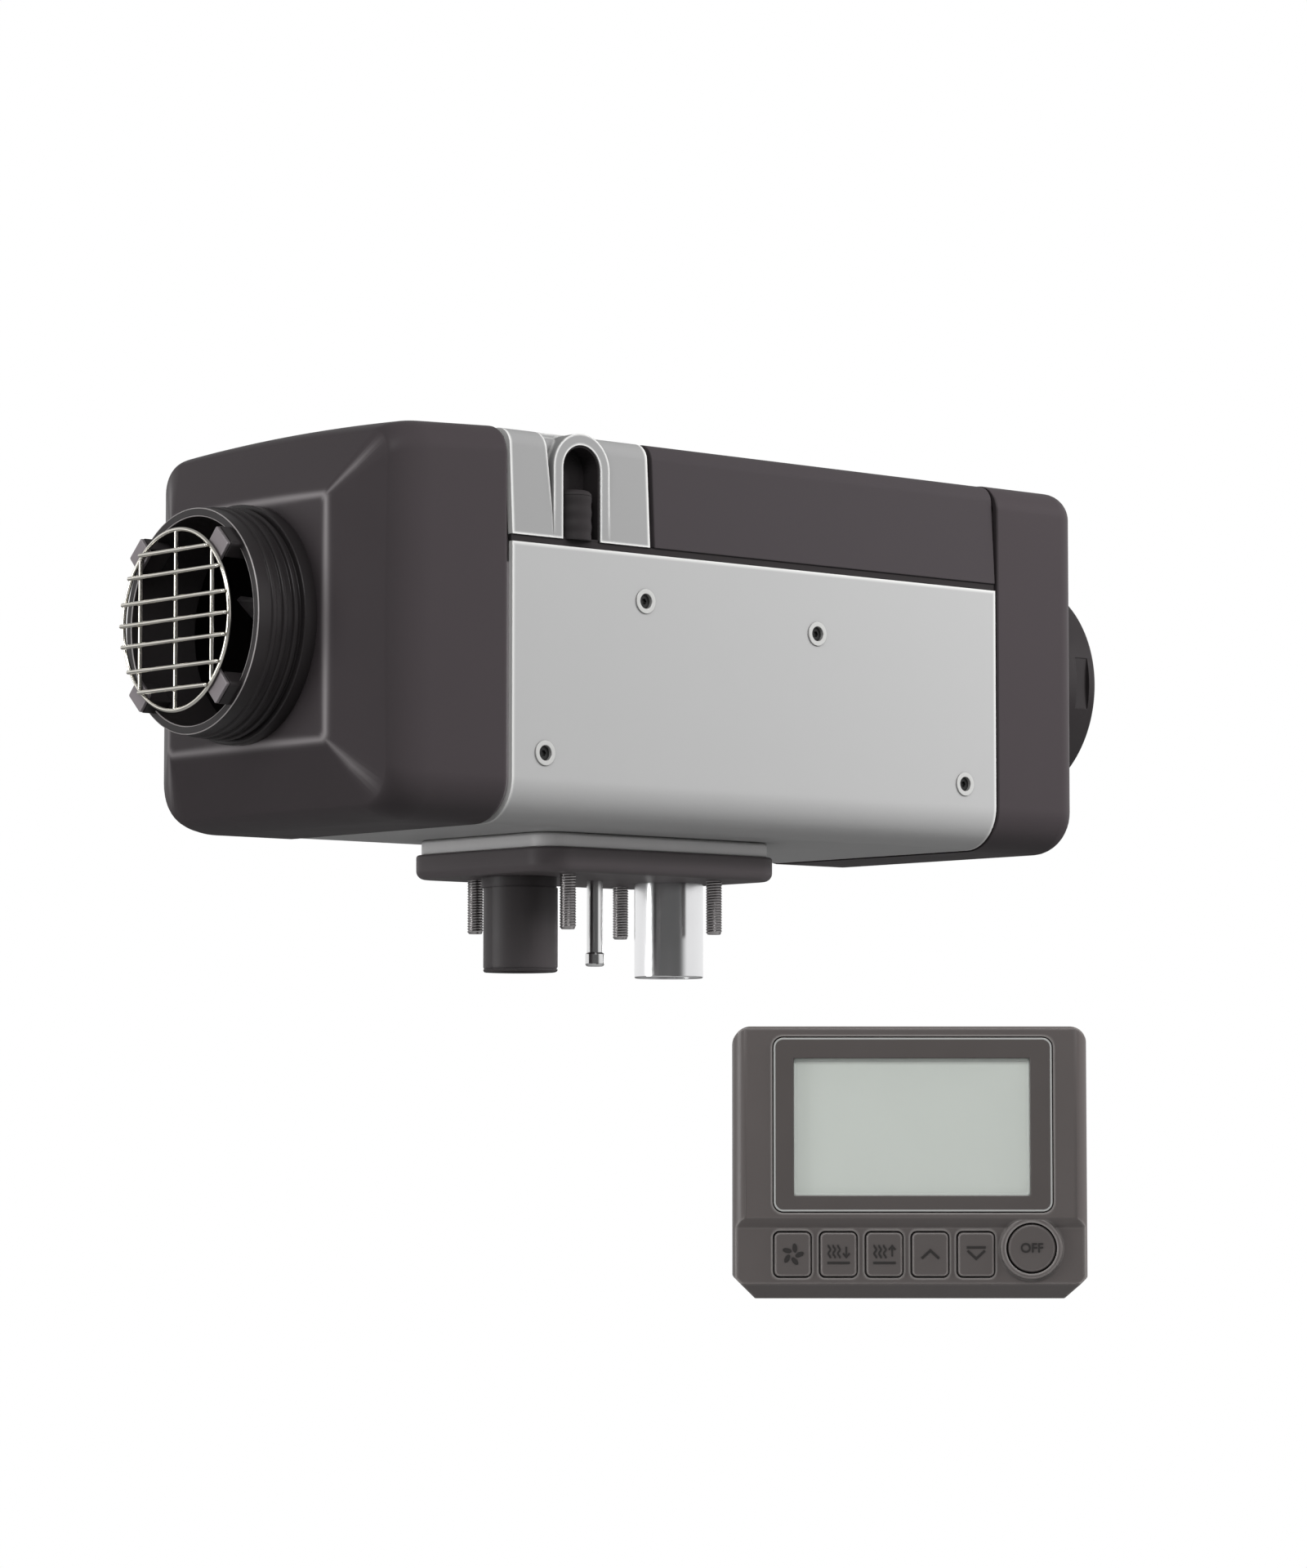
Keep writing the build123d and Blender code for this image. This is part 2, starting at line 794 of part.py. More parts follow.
def grille_clips():
    """Flat tabs that hold the ring and the corner wires against the neck's lugs."""
    tab = box(
        (clip_front_x, -clip_width / 2, clip_inner_radius),
        (clip_front_x + clip_thickness, clip_width / 2, clip_outer_radius),
    )
    tab = chamfer(tab.edges().filter_by(Axis.X), clip_thickness / 2)
    return group([around_axis(tab, turn) for turn in clip_turns()])


# ---- mounting foot and pipes -------------------------------------------------------------------
def pipe_holes(air_diameter, exhaust_hole, fuel_hole, low, high):
    """Holes for the air stub, the exhaust stub and the fuel pipe, between two heights."""
    return [
        rod_z(air_diameter, low, high, air_stub_x),
        rod_z(exhaust_hole, low, high, exhaust_x),
        rod_z(fuel_hole, low, high),
    ]


def stud_points():
    half_x = stud_spacing_x / 2
    half_y = stud_spacing_y / 2
    return [(-half_x, -half_y), (-half_x, half_y), (half_x, -half_y), (half_x, half_y)]


def foot_casting():
    """Aluminium foot between the jacket and the seal, with a boss through the jacket's floor."""
    plate = rounded_plate(
        seal_length - 2 * foot_inset,
        seal_width - 2 * foot_inset,
        seal_corner_radius - foot_inset,
        seal_thickness,
        floor_z,
    )
    boss = rounded_plate(
        seal_length - 2 * foot_boss_inset,
        seal_width - 2 * foot_boss_inset,
        seal_corner_radius - foot_boss_inset / 2,
        floor_z,
        foot_boss_top_z,
    )
    foot = plate + boss
    low = seal_thickness - over
    roots = (air_stub_root_diameter, exhaust_root_diameter, fuel_pipe_root_diameter)
    for hole in pipe_holes(*roots, low, foot_boss_top_z + over):
        foot = foot - hole
    for x, y in stud_points():
        foot = foot - rod_z(stud_root_diameter, low, seal_thickness + stud_depth, x, y)
    return foot


def flange_seal():
    """Thick seal that slips over the studs and the pipes."""
    seal = rounded_plate(seal_length, seal_width, seal_corner_radius, 0, seal_thickness)
    high = seal_thickness + over
    slack = 2 * fit_clearance
    outsides = (air_stub_diameter + slack, exhaust_diameter + slack, fuel_pipe_diameter + slack)
    for hole in pipe_holes(*outsides, -over, high):
        seal = seal - hole
    for x, y in stud_points():
        seal = seal - rod_z(stud_diameter + slack, -over, high, x, y)
    return seal


def mounting_studs():
    studs = []
    for x, y in stud_points():
        stud = rod_z(stud_diameter, -stud_reach, 0, x, y)
        stud = chamfer(stud.edges().group_by(Axis.Z)[0], stud_chamfer)
        studs.append(stud + rod_z(stud_root_diameter, 0, seal_thickness + stud_depth, x, y))
    return group(studs)


def combustion_air_stub():
    """Plastic stub below a short collar, with a wide shallow groove that faces the intake."""
    low = -air_stub_reach
    high = -air_stub_collar_length
    stub = rod_z(air_stub_diameter, low, high, air_stub_x)
    stub = fillet(stub.edges().group_by(Axis.Z)[0], air_stub_round)
    corners = [(0.0, 0.0)]
    for turn in air_stub_groove_turns:
        angle = math.radians(turn)
        corners.append((air_stub_diameter * math.cos(angle), air_stub_diameter * math.sin(angle)))
    wedge = Pos(air_stub_x, 0, low - over) * make_face(Polyline(*corners, close=True))
    wedge = extrude(wedge, amount=high - low + 2 * over)
    core_diameter = air_stub_diameter - 2 * air_stub_groove_depth
    stub = stub - (wedge - rod_z(core_diameter, low - 2 * over, over, air_stub_x))
    stub = stub + rod_z(air_stub_collar_diameter, high, 0, air_stub_x)
    stub = stub + rod_z(air_stub_root_diameter, 0, foot_boss_top_z, air_stub_x)
    return stub - rod_z(air_stub_bore, low - over, foot_boss_top_z + over, air_stub_x)


def exhaust_stub():
    """Polished tube, necked down where it passes through the seal and the foot."""
    tube = rod_z(exhaust_diameter, -exhaust_reach, 0, exhaust_x)
    tube = tube + rod_z(exhaust_root_diameter, 0, foot_boss_top_z, exhaust_x)
    return tube - rod_z(exhaust_bore, -exhaust_reach - over, foot_boss_top_z + over, exhaust_x)


def fuel_pipe():
    """Steel feed pipe from the hose bead up into the burner head."""
    low = -fuel_pipe_reach
    pipe = rod_z(fuel_pipe_diameter, low, 0) + rod_z(fuel_pipe_root_diameter, 0, fuel_pipe_top_z)
    bead = rod_z(fuel_bead_diameter, low, low + fuel_bead_length)
    bead = fillet(bead.edges().filter_by(GeomType.CIRCLE), fuel_bead_round)
    return (pipe + bead) - rod_z(fuel_pipe_bore, low - over, fuel_pipe_top_z + over)


# ---- frames inside the shells ------------------------------------------------------------------
def frame_block(start, end, shrink=0.0):
    """Section that touches the jacket's inside below, and clears the upper shells above."""
    split = jacket_top_z - tongue_depth - fit_clearance
    below = box((start, -half_width, floor_z), (end, half_width, split))
    above = box((start, -half_width, split), (end, half_width, top_z))
    low = body_block(start, end, jacket_wall + shrink) & below
    high = body_block(start, end, upper_wall + upper_draft + fit_clearance + shrink) & above
    return low + high


def locating_frame(start, end, plate_start, hole_diameter):
    """Frame inside the seam that lines up a hood with the jacket and carries an air guide."""
    skirt = frame_block(start, end) - frame_block(start - over, end + over, frame_wall)
    plate = frame_block(plate_start, plate_start + frame_plate)
    return skirt + plate - rod_x(hole_diameter, start - over, end + over)


def intake_frame():
    start = intake_seam_x - frame_length / 2
    hole = fan_diameter + 2 * fan_guide_gap
    return locating_frame(start, start + frame_length, start, hole)


def outlet_frame():
    start = outlet_seam_x - frame_length / 2
    end = start + frame_length
    return locating_frame(start, end, end - frame_plate, outlet_collar_diameter)


# ---- motor and fans ----------------------------------------------------------------------------
def motor_can():
    can = tube_x(motor_diameter, motor_diameter - 2 * motor_can_wall, motor_front_x, motor_back_x)
    seat = bearing_outer_diameter
    for start in (motor_front_x, motor_back_x - bearing_width):
        wall = rod_x(motor_diameter, start, start + bearing_width)
        can = can + (wall - rod_x(seat, start - over, start + bearing_width + over))
    return can


def bearing(start):
    bore = shaft_diameter + 2 * running_gap
    return tube_x(bearing_outer_diameter, bore, start, start + bearing_width)


def front_bearing():
    return bearing(motor_front_x)


def rear_bearing():
    return bearing(motor_back_x - bearing_width)


def motor_magnets():
    outer = motor_diameter - 2 * motor_can_wall
    middle = (motor_front_x + motor_back_x) / 2
    shell = tube_x(
        outer,
        outer - 2 * magnet_thickness,
        middle - armature_length / 2,
        middle + armature_length / 2,
    )
    gap = box((motor_front_x, -magnet_split / 2, 0), (motor_back_x, magnet_split / 2, top_z))
    return group([shell - gap])


def motor_armature():
    middle = (motor_front_x + motor_back_x) / 2
    start = middle - armature_length / 2
    end = middle + armature_length / 2
    core = rod_x(armature_diameter, start, end)
    slot = box(
        (start - over, -armature_slot_width / 2, armature_diameter / 2 - armature_slot_depth),
        (end + over, armature_slot_width / 2, armature_diameter),
    )
    for index in range(armature_slots):
        core = core - around_axis(slot, 360 / armature_slots * index)
    return core - rod_x(shaft_diameter, start - over, end + over)


def motor_shaft():
    return rod_x(shaft_diameter, shaft_start_x, wheel_start_x + blower_wheel_width + shaft_tail)


def heating_fan():
    """Axial wheel that drives the heating air; hub, boss and pitched blades."""
    start = fan_back_x - fan_width
    hub = rod_x(fan_hub_diameter, start, fan_back_x)
    hub = fillet(loop_edges(hub, start), fan_hub_round)
    length = (fan_diameter - fan_hub_diameter) / 2 + fan_blade_root
    middle = fan_diameter / 2 - length / 2
    rim = rod_x(fan_diameter, start, fan_back_x)
    blade = Box(fan_width, fan_blade_thickness, length)
    wheel = hub
    for index in range(fan_blades):
        pitched = Pos(0, 0, middle) * Rot(0, 0, fan_blade_pitch) * blade
        turned = Rot(360 / fan_blades * index, 0, 0) * pitched
        placed = Pos((start + fan_back_x) / 2, 0, axis_z) * turned
        wheel = wheel + (placed & rim)
    return wheel - rod_x(shaft_diameter, start - over, fan_back_x + over)


def combustion_fan():
    """Radial wheel on the shaft's rear end that feeds the burner."""
    start = wheel_start_x
    end = start + blower_wheel_width
    wheel = rod_x(blower_wheel_diameter, end - blower_plate, end)
    wheel = wheel + rod_x(blower_hub_diameter, start, end)
    outer = blower_wheel_diameter / 2
    blade = box(
        (start, -blower_blade_thickness / 2, outer - blower_blade_depth),
        (end - blower_plate, blower_blade_thickness / 2, outer - blower_blade_thickness),
    )
    for index in range(blower_blades):
        wheel = wheel + around_axis(blade, 360 / blower_blades * index)
    return wheel - rod_x(shaft_diameter, start - over, end + over)


def blower_housing():
    """Cast cup around the combustion fan; carries the motor and takes the air stub."""
    start = housing_front_x
    end = housing_back_x
    inner = rod_x(housing_diameter - 2 * housing_wall, start + housing_wall, end + over)
    cup = rod_x(housing_diameter, start, end) - inner
    cup = cup - rod_x(bearing_outer_diameter, start - over, start + housing_wall + over)
    half = air_stub_diameter / 2
    neck = box(
        (air_stub_x - half, -half, foot_boss_top_z),
        (end, half, axis_z - housing_diameter / 2 + blower_neck_depth),
    )
    inlet = rod_z(air_stub_bore, foot_boss_top_z - over, axis_z - bearing_outer_diameter, air_stub_x)
    return cup + (neck - inner) - inlet


# ---- burner and heat exchanger -----------------------------------------------------------------
def housing_gasket():
    outer = housing_diameter - 2 * flange_trim
    return tube_x(outer, outer - 2 * gasket_width, housing_back_x, head_front_x)


def burner_head():
    """Casting that closes the blower housing and carries the glow plug and the fuel pipe."""
    head = rod_x(burner_head_diameter, head_front_x, head_back_x)
    flange_end = head_front_x + burner_head_flange
    head = head + rod_x(housing_diameter - 2 * flange_trim, head_front_x, flange_end)
    head = head - rod_x(burner_air_hole, head_front_x - over, head_back_x + over)
    head = head - rod_z(glow_plug_diameter, axis_z + glow_plug_inner_end, top_z, head_middle_x)
    return head - rod_z(fuel_pipe_root_diameter, 0, fuel_pipe_top_z)


def glow_plug():
    low = axis_z + glow_plug_inner_end
    high = axis_z + housing_diameter / 2 + glow_plug_reach
    plug = rod_z(glow_plug_diameter, low, high, head_middle_x)
    return plug + rod_z(glow_plug_terminal, high, high + glow_plug_terminal, head_middle_x)


def combustion_chamber():
    """Steel tube that the flame burns in, with a row of air holes near the burner."""
    start = head_back_x
    radius = chamber_diameter / 2
    tube = tube_x(chamber_diameter, chamber_diameter - 2 * chamber_wall, start, start + chamber_length)
    hole = Pos(start + chamber_hole_place, 0, radius) * Cylinder(chamber_hole_diameter / 2, radius)
    for index in range(chamber_holes):
        tube = tube - around_axis(hole, 360 / chamber_holes * index)
    return tube


def burner_gauze():
    end = head_back_x + gauze_thickness
    return tube_x(chamber_diameter - 2 * chamber_wall, burner_air_hole, head_back_x, end)


def exchanger_fins_shape(start, end):
    """Plates through the axis, cut to the envelope that the heating air flows in."""
    half = exchanger_fin_envelope / 2
    reach = half * math.sqrt(2)
    half_fin = exchanger_fin_thickness / 2
    fin = box((start, -half_fin, -reach), (end, half_fin, reach))
    fins = rod_x(exchanger_inner_diameter + exchanger_wall, start, end)
    for index in range(exchanger_fins // 2):
        fins = fins + around_axis(fin, 360 / exchanger_fins * index)
    corner = exchanger_fin_corner
    return fins & extrude(ring_face(start, half, half, corner, corner), amount=end - start)


def heat_exchanger():
    """Cast cup around the chamber, with fins along the heating air and a port for the exhaust."""
    start = head_back_x
    end = exchanger_end_x
    half = exchanger_fin_envelope / 2
    fins = exchanger_fins_shape(start + exchanger_fin_start, end - exchanger_fin_end)
    body = fins + rod_x(exchanger_inner_diameter + 2 * exchanger_wall, start, end)
    port_half = exchanger_port_block / 2
    block = box(
        (exhaust_x - port_half, -port_half, foot_boss_top_z),
        (exhaust_x + port_half, port_half, axis_z - exchanger_inner_diameter / 2),
    )
    body = body - box((start, -half, floor_z), (end, half, foot_boss_top_z)) + block
    body = body - rod_x(exchanger_inner_diameter, start - over, end - exchanger_wall)
    port_top = axis_z - exchanger_inner_diameter / 2 + exchanger_wall + over
    return body - rod_z(exhaust_bore, foot_boss_top_z - over, port_top, exhaust_x)


def overheat_sensor():
    """Button sensor strapped on the fins at the top of the heat exchanger."""
    low = axis_z + exchanger_fin_envelope / 2
    x = head_back_x + sensor_place
    length, width, thickness = sensor_strap
    strap = box((x - length / 2, -width / 2, low), (x + length / 2, width / 2, low + thickness))
    return strap + rod_z(sensor_diameter, low, low + sensor_height, x)


# ---- electronic control unit -------------------------------------------------------------------
def ecu_box(inset):
    low = (ecu_front_x + inset, -ecu_width / 2 + inset, ecu_low_z + inset)
    high = (
        ecu_front_x + ecu_length - inset,
        ecu_width / 2 - inset,
        ecu_low_z + ecu_height - inset,
    )
    return box(low, high)


def control_unit_case():
    """Closed case that stands on the motor on two saddle-shaped legs."""
    case = ecu_box(0.0) - ecu_box(ecu_wall)
    half = ecu_leg_width / 2
    last = ecu_front_x + ecu_length - ecu_leg_inset - ecu_leg_length
    for start in (ecu_front_x + ecu_leg_inset, last):
        leg = box((start, -half, axis_z), (start + ecu_leg_length, half, ecu_low_z))
        case = case + (leg - rod_x(motor_diameter, start - over, start + ecu_leg_length + over))
    return case


def control_unit_board():
    middle = ecu_low_z + ecu_height / 2
    board = box(
        (ecu_front_x + ecu_wall, -ecu_width / 2 + ecu_wall, middle),
        (
            ecu_front_x + ecu_length - ecu_wall,
            ecu_width / 2 - ecu_wall,
            middle + ecu_board_thickness,
        ),
    )
    for along, across in ecu_chips:
        x = ecu_front_x + along
        size = ecu_chip_size
        board = board + box((x, across, middle), (x + size, across + size, middle + ecu_chip_height))
    return board


# ---- control panel: drawn flat, u across, v up, w out of the face; then put in place -----------
def put(piece):
    """Moves a control-panel piece from its flat drawing to its place."""
    return panel_frame.location * piece


def panel_outline(inset):
    """Panel seen from the front: round corners above, cut corners below."""
    half_u = panel_width / 2 - inset
    half_v = panel_height / 2 - inset
    cut = panel_low_chamfer - inset * (2 - math.sqrt(2))
    corner = panel_top_corner - inset
    small = panel_outline_round
    points = [
        (-half_u + cut, -half_v),
        (half_u - cut, -half_v),
        (half_u, -half_v + cut),
        (half_u, half_v),
        (-half_u, half_v),
        (-half_u, -half_v + cut),
    ]
    radii = [small, small, small, corner, corner, small]
    return make_face(FilletPolyline(*points, radius=radii, close=True))


def panel_prism(inset, low, high):
    """Panel outline, shrunk by inset, between two depths."""
    return extrude(Pos(0, 0, low) * panel_outline(inset), amount=high - low)


def rounded_block(width, height, corner, centre, low, high):
    """Plate with round corners in the panel's flat drawing."""
    face = Pos(centre[0], centre[1], low) * RectangleRounded(width, height, corner)
    return extrude(face, amount=high - low)


def disc(diameter, centre, low, high):
    """Round plate in the panel's flat drawing."""
    return Pos(centre[0], centre[1], (low + high) / 2) * Cylinder(diameter / 2, high - low)


def key_places():
    """Centres of the square keys."""
    return [(key_first + key_pitch * index, key_row) for index in range(key_count)]


def profile_across():
    """Front shell seen from above: soft round corners at the left and right edges."""
    half = panel_width / 2
    points = [(-half, -panel_front_depth), (half, -panel_front_depth), (half, 0.0), (-half, 0.0)]
    radii = [0, 0, panel_side_round, panel_side_round]
    face = Plane.XZ * make_face(FilletPolyline(*points, radius=radii, close=True))
    return Pos(0, panel_height / 2, 0) * extrude(face, amount=panel_height)


def profile_up():
    """Front shell seen from the side: top edge, display face, slope, key strip and low bevel."""
    half = panel_height / 2
    points = [
        (-half, -panel_front_depth),
        (half, -panel_front_depth),
        (half, 0.0),
        (strip_top, 0.0),
        (strip_top - strip_slope, strip_face),
        (-half + panel_low_bevel, strip_face),
        (-half, strip_face - panel_low_bevel_depth),
    ]
    radii = [0, 0, panel_top_round, panel_edge_round, panel_edge_round, panel_edge_round, panel_edge_round]
    face = Plane.YZ * make_face(FilletPolyline(*points, radius=radii, close=True))
    return Pos(-panel_width / 2, 0, 0) * extrude(face, amount=panel_width)


def panel_front_case():
    """Front shell with the display recess, the key holes and the raised ring of the round key."""
    outside = panel_prism(0.0, -panel_front_depth, 0.0) & profile_across() & profile_up()
    ring_diameter = off_key_diameter + 2 * key_gap + 2 * off_ring_width
    ring = disc(ring_diameter, off_key_place, panel_inner_face, off_ring_face)
    outside = outside + fillet(ring.edges().group_by(Axis.Z)[-1], off_ring_round)
    case = outside - panel_prism(panel_wall, -panel_front_depth - over, panel_inner_face)
    ledge = box(
        (-panel_width / 2, -panel_height / 2, -panel_low_ledge_depth),
        (panel_width / 2, panel_low_ledge - panel_height / 2, panel_inner_face),
    )
    case = case + (ledge & outside)
    for place in panel_screw_points():
        case = case + disc(panel_post_diameter, place, -panel_front_depth, panel_inner_face)
    case = case - rounded_block(
        display_width, display_height, display_corner, display_offset, bezel_back, over
    )
    case = case - rounded_block(
        window_width + 2 * lcd_border + fit_clearance,
        window_height + 2 * lcd_border + fit_clearance,
        lcd_corner,
        window_offset,
        -panel_front_depth,
        over,
    )
    case = case - disc(led_diameter, led_place, -panel_front_depth, over)
    for place in panel_screw_points():
        screw_end = panel_screw_reach - panel_front_depth
        case = case - disc(panel_screw_diameter, place, -panel_front_depth - over, screw_end)
    for place in key_places():
        case = case - rounded_block(
            key_width + 2 * key_gap,
            key_height + 2 * key_gap,
            key_corner + key_gap,
            place,
            -panel_front_depth,
            over,
        )
    off_hole = disc(off_key_diameter + 2 * key_gap, off_key_place, -panel_front_depth, over)
    return put(case - off_hole)


def panel_screw_points():
    """Centres of the screws in the corners of the back."""
    half_u = panel_width / 2 - panel_screw_inset
    half_v = panel_height / 2 - panel_screw_inset
    return [(-half_u, -half_v), (half_u, -half_v), (half_u, half_v), (-half_u, half_v)]


def panel_back_case():
    """Back shell with screw posts, posts that carry the board, and the socket's opening."""
    back = panel_prism(0.0, -panel_depth, -panel_front_depth)
    back = fillet(back.faces().sort_by(Axis.Z)[0].edges(), panel_back_round)
    floor = panel_wall - panel_depth
    back = back - panel_prism(panel_wall, floor, -panel_front_depth + over)
    for place in panel_screw_points():
        back = back + disc(panel_post_diameter, place, floor, -panel_front_depth)
    for place in board_posts:
        back = back + disc(board_post_diameter, place, floor, board_back)
    head_seat = panel_screw_head_recess + panel_screw_head_height - panel_depth
    for place in panel_screw_points():
        back = back - disc(panel_screw_diameter, place, -panel_depth - over, -panel_front_depth + over)
        seat = panel_screw_head_diameter + fit_clearance
        back = back - disc(seat, place, -panel_depth - over, head_seat)
    socket = box(
        (-socket_width / 2, -socket_height / 2, -panel_depth - over),
        (socket_width / 2, socket_height / 2, floor + over),
    )
    return put(back - socket)


def panel_screws():
    """Cross-headed screws that hold the two shells together."""
    screws = []
    head_low = panel_screw_head_recess - panel_depth
    head_high = head_low + panel_screw_head_height
    shank_end = panel_screw_reach - panel_front_depth
    length, width, depth = panel_screw_slot
    for place in panel_screw_points():
        head = disc(panel_screw_head_diameter, place, head_low, head_high)
        shank = disc(panel_screw_diameter, place, head_high, shank_end)
        centre = Pos(place[0], place[1], head_low)
        cross = centre * Box(length, width, depth) + centre * Box(width, length, depth)
        screws.append(head + shank - cross)
    return put(group(screws))


def display_bezel():
    """Frame round the display, set in a groove of the front shell."""
    plate = rounded_block(
        display_width - 2 * display_groove,
        display_height - 2 * display_groove,
        display_corner - display_groove,
        display_offset,
        bezel_back,
        bezel_proud,
    )
    plate = chamfer(plate.faces().sort_by(Axis.Z)[-1].edges(), bezel_chamfer)
    opening = rounded_block(
        window_width, window_height, window_corner, window_offset, bezel_back - over, over
    )
    return put(plate - opening - disc(led_diameter, led_place, bezel_back - over, over))


def display_lens():
    """Clear window that lies on the display, a little below the frame's face."""
    width = window_width - 2 * lens_gap
    height = window_height - 2 * lens_gap
    face = bezel_proud - lens_recess
    return put(rounded_block(width, height, window_corner, window_offset, bezel_back, face))


def lcd_panel():
    """Display module behind the frame and the window."""
    width = window_width + 2 * lcd_border
    height = window_height + 2 * lcd_border
    low = bezel_back - lcd_thickness
    return put(rounded_block(width, height, lcd_corner, window_offset, low, bezel_back))


def panel_led():
    """Small light sensor or indicator in the frame's right edge."""
    return put(disc(led_diameter, led_place, bezel_back, bezel_proud - led_recess))


def panel_board():
    """Circuit board that carries the switches and the socket."""
    board = panel_prism(panel_wall + board_side_gap, board_back, board_front)
    hole = panel_post_diameter + 2 * board_hole_gap
    for place in panel_screw_points():
        board = board - disc(hole, place, board_back - over, board_front + over)
    return put(board)


def key_switches():
    """Push switches on the board, one behind each key."""
    switches = []
    for place in key_places() + [off_key_place]:
        switch = rounded_block(
            switch_size, switch_size, window_corner, place, board_front, switch_front
        )
        switches.append(switch)
    return put(group(switches))


def square_key(index):
    """Square key, kept in its hole by a flange behind the front shell."""
    place = key_places()[index]
    cap = rounded_block(key_width, key_height, key_corner, place, key_back, key_front)
    cap = fillet(cap.faces().sort_by(Axis.Z)[-1].edges(), key_round)
    rim = 2 * key_flange
    size = (key_width + rim, key_height + rim, key_corner)
    return put(cap + rounded_block(*size, place, key_back, key_flange_front))


def off_key():
    """Round key with a flange like the square ones."""
    cap = disc(off_key_diameter, off_key_place, key_back, key_front + off_key_rise)
    cap = fillet(cap.faces().sort_by(Axis.Z)[-1].edges(), key_round)
    rim = off_key_diameter + 2 * key_flange
    return put(cap + disc(rim, off_key_place, key_back, key_flange_front))


def cable_socket():
    """Plug-in socket at the back, where the heater's lead connects."""
    low = -panel_depth
    half_u = socket_width / 2 - socket_gap
    half_v = socket_height / 2 - socket_gap
    shell = box((-half_u, -half_v, low), (half_u, half_v, board_back))
    shell = shell - box(
        (socket_wall - half_u, socket_wall - half_v, low - over),
        (half_u - socket_wall, half_v - socket_wall, low + socket_length),
    )
    size = socket_pin_size / 2
    pin = box((-size, -size, low + socket_pin_recess), (size, size, low + socket_length + over))
    first = -socket_pin_pitch * (socket_pins - 1) / 2
    for index in range(socket_pins):
        shell = shell + Pos(first + socket_pin_pitch * index, 0, 0) * pin
    return put(shell)


nodes = {
    "lower_jacket": lower_jacket,
    "upper_saddle": upper_saddle,
    "top_cover": top_cover,
    "edge_seals": edge_seals,
    "intake_hood": intake_hood,
    "intake_neck": intake_neck,
    "outlet_hood": outlet_hood,
    "outlet_collar": outlet_collar,
    "intake_frame": intake_frame,
    "outlet_frame": outlet_frame,
    "grille_ring": grille_ring,
    "grille_bars": grille_bars,
    "grille_clips": grille_clips,
    "cable_grommet": cable_grommet,
    "arch_blank": arch_blank,
    "eyelets": eyelets,
    "side_screws": side_screws,
    "side_liners": side_liners,
    "foot_casting": foot_casting,
    "flange_seal": flange_seal,
    "mounting_studs": mounting_studs,
    "combustion_air_stub": combustion_air_stub,
    "exhaust_stub": exhaust_stub,
    "fuel_pipe": fuel_pipe,
    "motor_can": motor_can,
    "motor_magnets": motor_magnets,
    "motor_armature": motor_armature,
    "motor_shaft": motor_shaft,
    "front_bearing": front_bearing,
    "rear_bearing": rear_bearing,
    "heating_fan": heating_fan,
    "combustion_fan": combustion_fan,
    "blower_housing": blower_housing,
    "housing_gasket": housing_gasket,
    "burner_head": burner_head,
    "glow_plug": glow_plug,
    "combustion_chamber": combustion_chamber,
    "burner_gauze": burner_gauze,
    "heat_exchanger": heat_exchanger,
    "overheat_sensor": overheat_sensor,
    "control_unit_case": control_unit_case,
    "control_unit_board": control_unit_board,
    "panel_front_case": panel_front_case,
    "panel_back_case": panel_back_case,
    "panel_screws": panel_screws,
    "display_bezel": display_bezel,
    "display_lens": display_lens,
    "lcd_panel": lcd_panel,
    "panel_led": panel_led,
    "panel_board": panel_board,
    "key_switches": key_switches,
    "off_key": off_key,
    "cable_socket": cable_socket,
}
key_names = ("fan_key", "heat_down_key", "heat_up_key", "up_key", "down_key")


def write_parts():
    os.makedirs("parts", exist_ok=True)
    for name, make in nodes.items():
        export_step(make(), f"parts/{name}.step")
    for index, name in enumerate(key_names):
        export_step(square_key(index), f"parts/{name}.step")


write_parts()
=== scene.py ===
"""Looks of a diesel air heater and its control panel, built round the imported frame.

Lengths are in millimetres until a mesh is made, and each docstring gives its surface's formula.
"""

import json
import math

import bmesh
import bpy
import numpy as np
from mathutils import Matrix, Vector

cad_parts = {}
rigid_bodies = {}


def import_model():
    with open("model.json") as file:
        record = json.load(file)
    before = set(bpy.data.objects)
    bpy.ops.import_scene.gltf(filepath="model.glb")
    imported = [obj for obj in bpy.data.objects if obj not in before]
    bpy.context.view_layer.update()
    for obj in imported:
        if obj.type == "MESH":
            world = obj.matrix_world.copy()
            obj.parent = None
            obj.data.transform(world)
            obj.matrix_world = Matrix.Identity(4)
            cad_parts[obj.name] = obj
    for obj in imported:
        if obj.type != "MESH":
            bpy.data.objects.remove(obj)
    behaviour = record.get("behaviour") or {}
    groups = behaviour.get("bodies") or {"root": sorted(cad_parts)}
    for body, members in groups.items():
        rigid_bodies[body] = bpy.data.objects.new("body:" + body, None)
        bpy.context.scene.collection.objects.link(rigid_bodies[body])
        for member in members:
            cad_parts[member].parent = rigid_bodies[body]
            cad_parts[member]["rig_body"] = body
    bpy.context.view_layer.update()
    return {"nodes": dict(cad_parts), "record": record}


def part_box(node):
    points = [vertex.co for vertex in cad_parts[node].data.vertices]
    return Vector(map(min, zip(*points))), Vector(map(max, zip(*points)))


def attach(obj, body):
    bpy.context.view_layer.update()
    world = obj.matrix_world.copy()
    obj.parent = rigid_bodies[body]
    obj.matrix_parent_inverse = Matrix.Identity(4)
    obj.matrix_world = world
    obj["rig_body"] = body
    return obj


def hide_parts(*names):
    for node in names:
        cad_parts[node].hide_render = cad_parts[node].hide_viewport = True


MM = 0.001
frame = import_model()
scene = bpy.context.scene


def span(node):
    """Lowest and highest corner of a CAD node, in millimetres."""
    low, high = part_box(node)
    return np.array(low) / MM, np.array(high) / MM


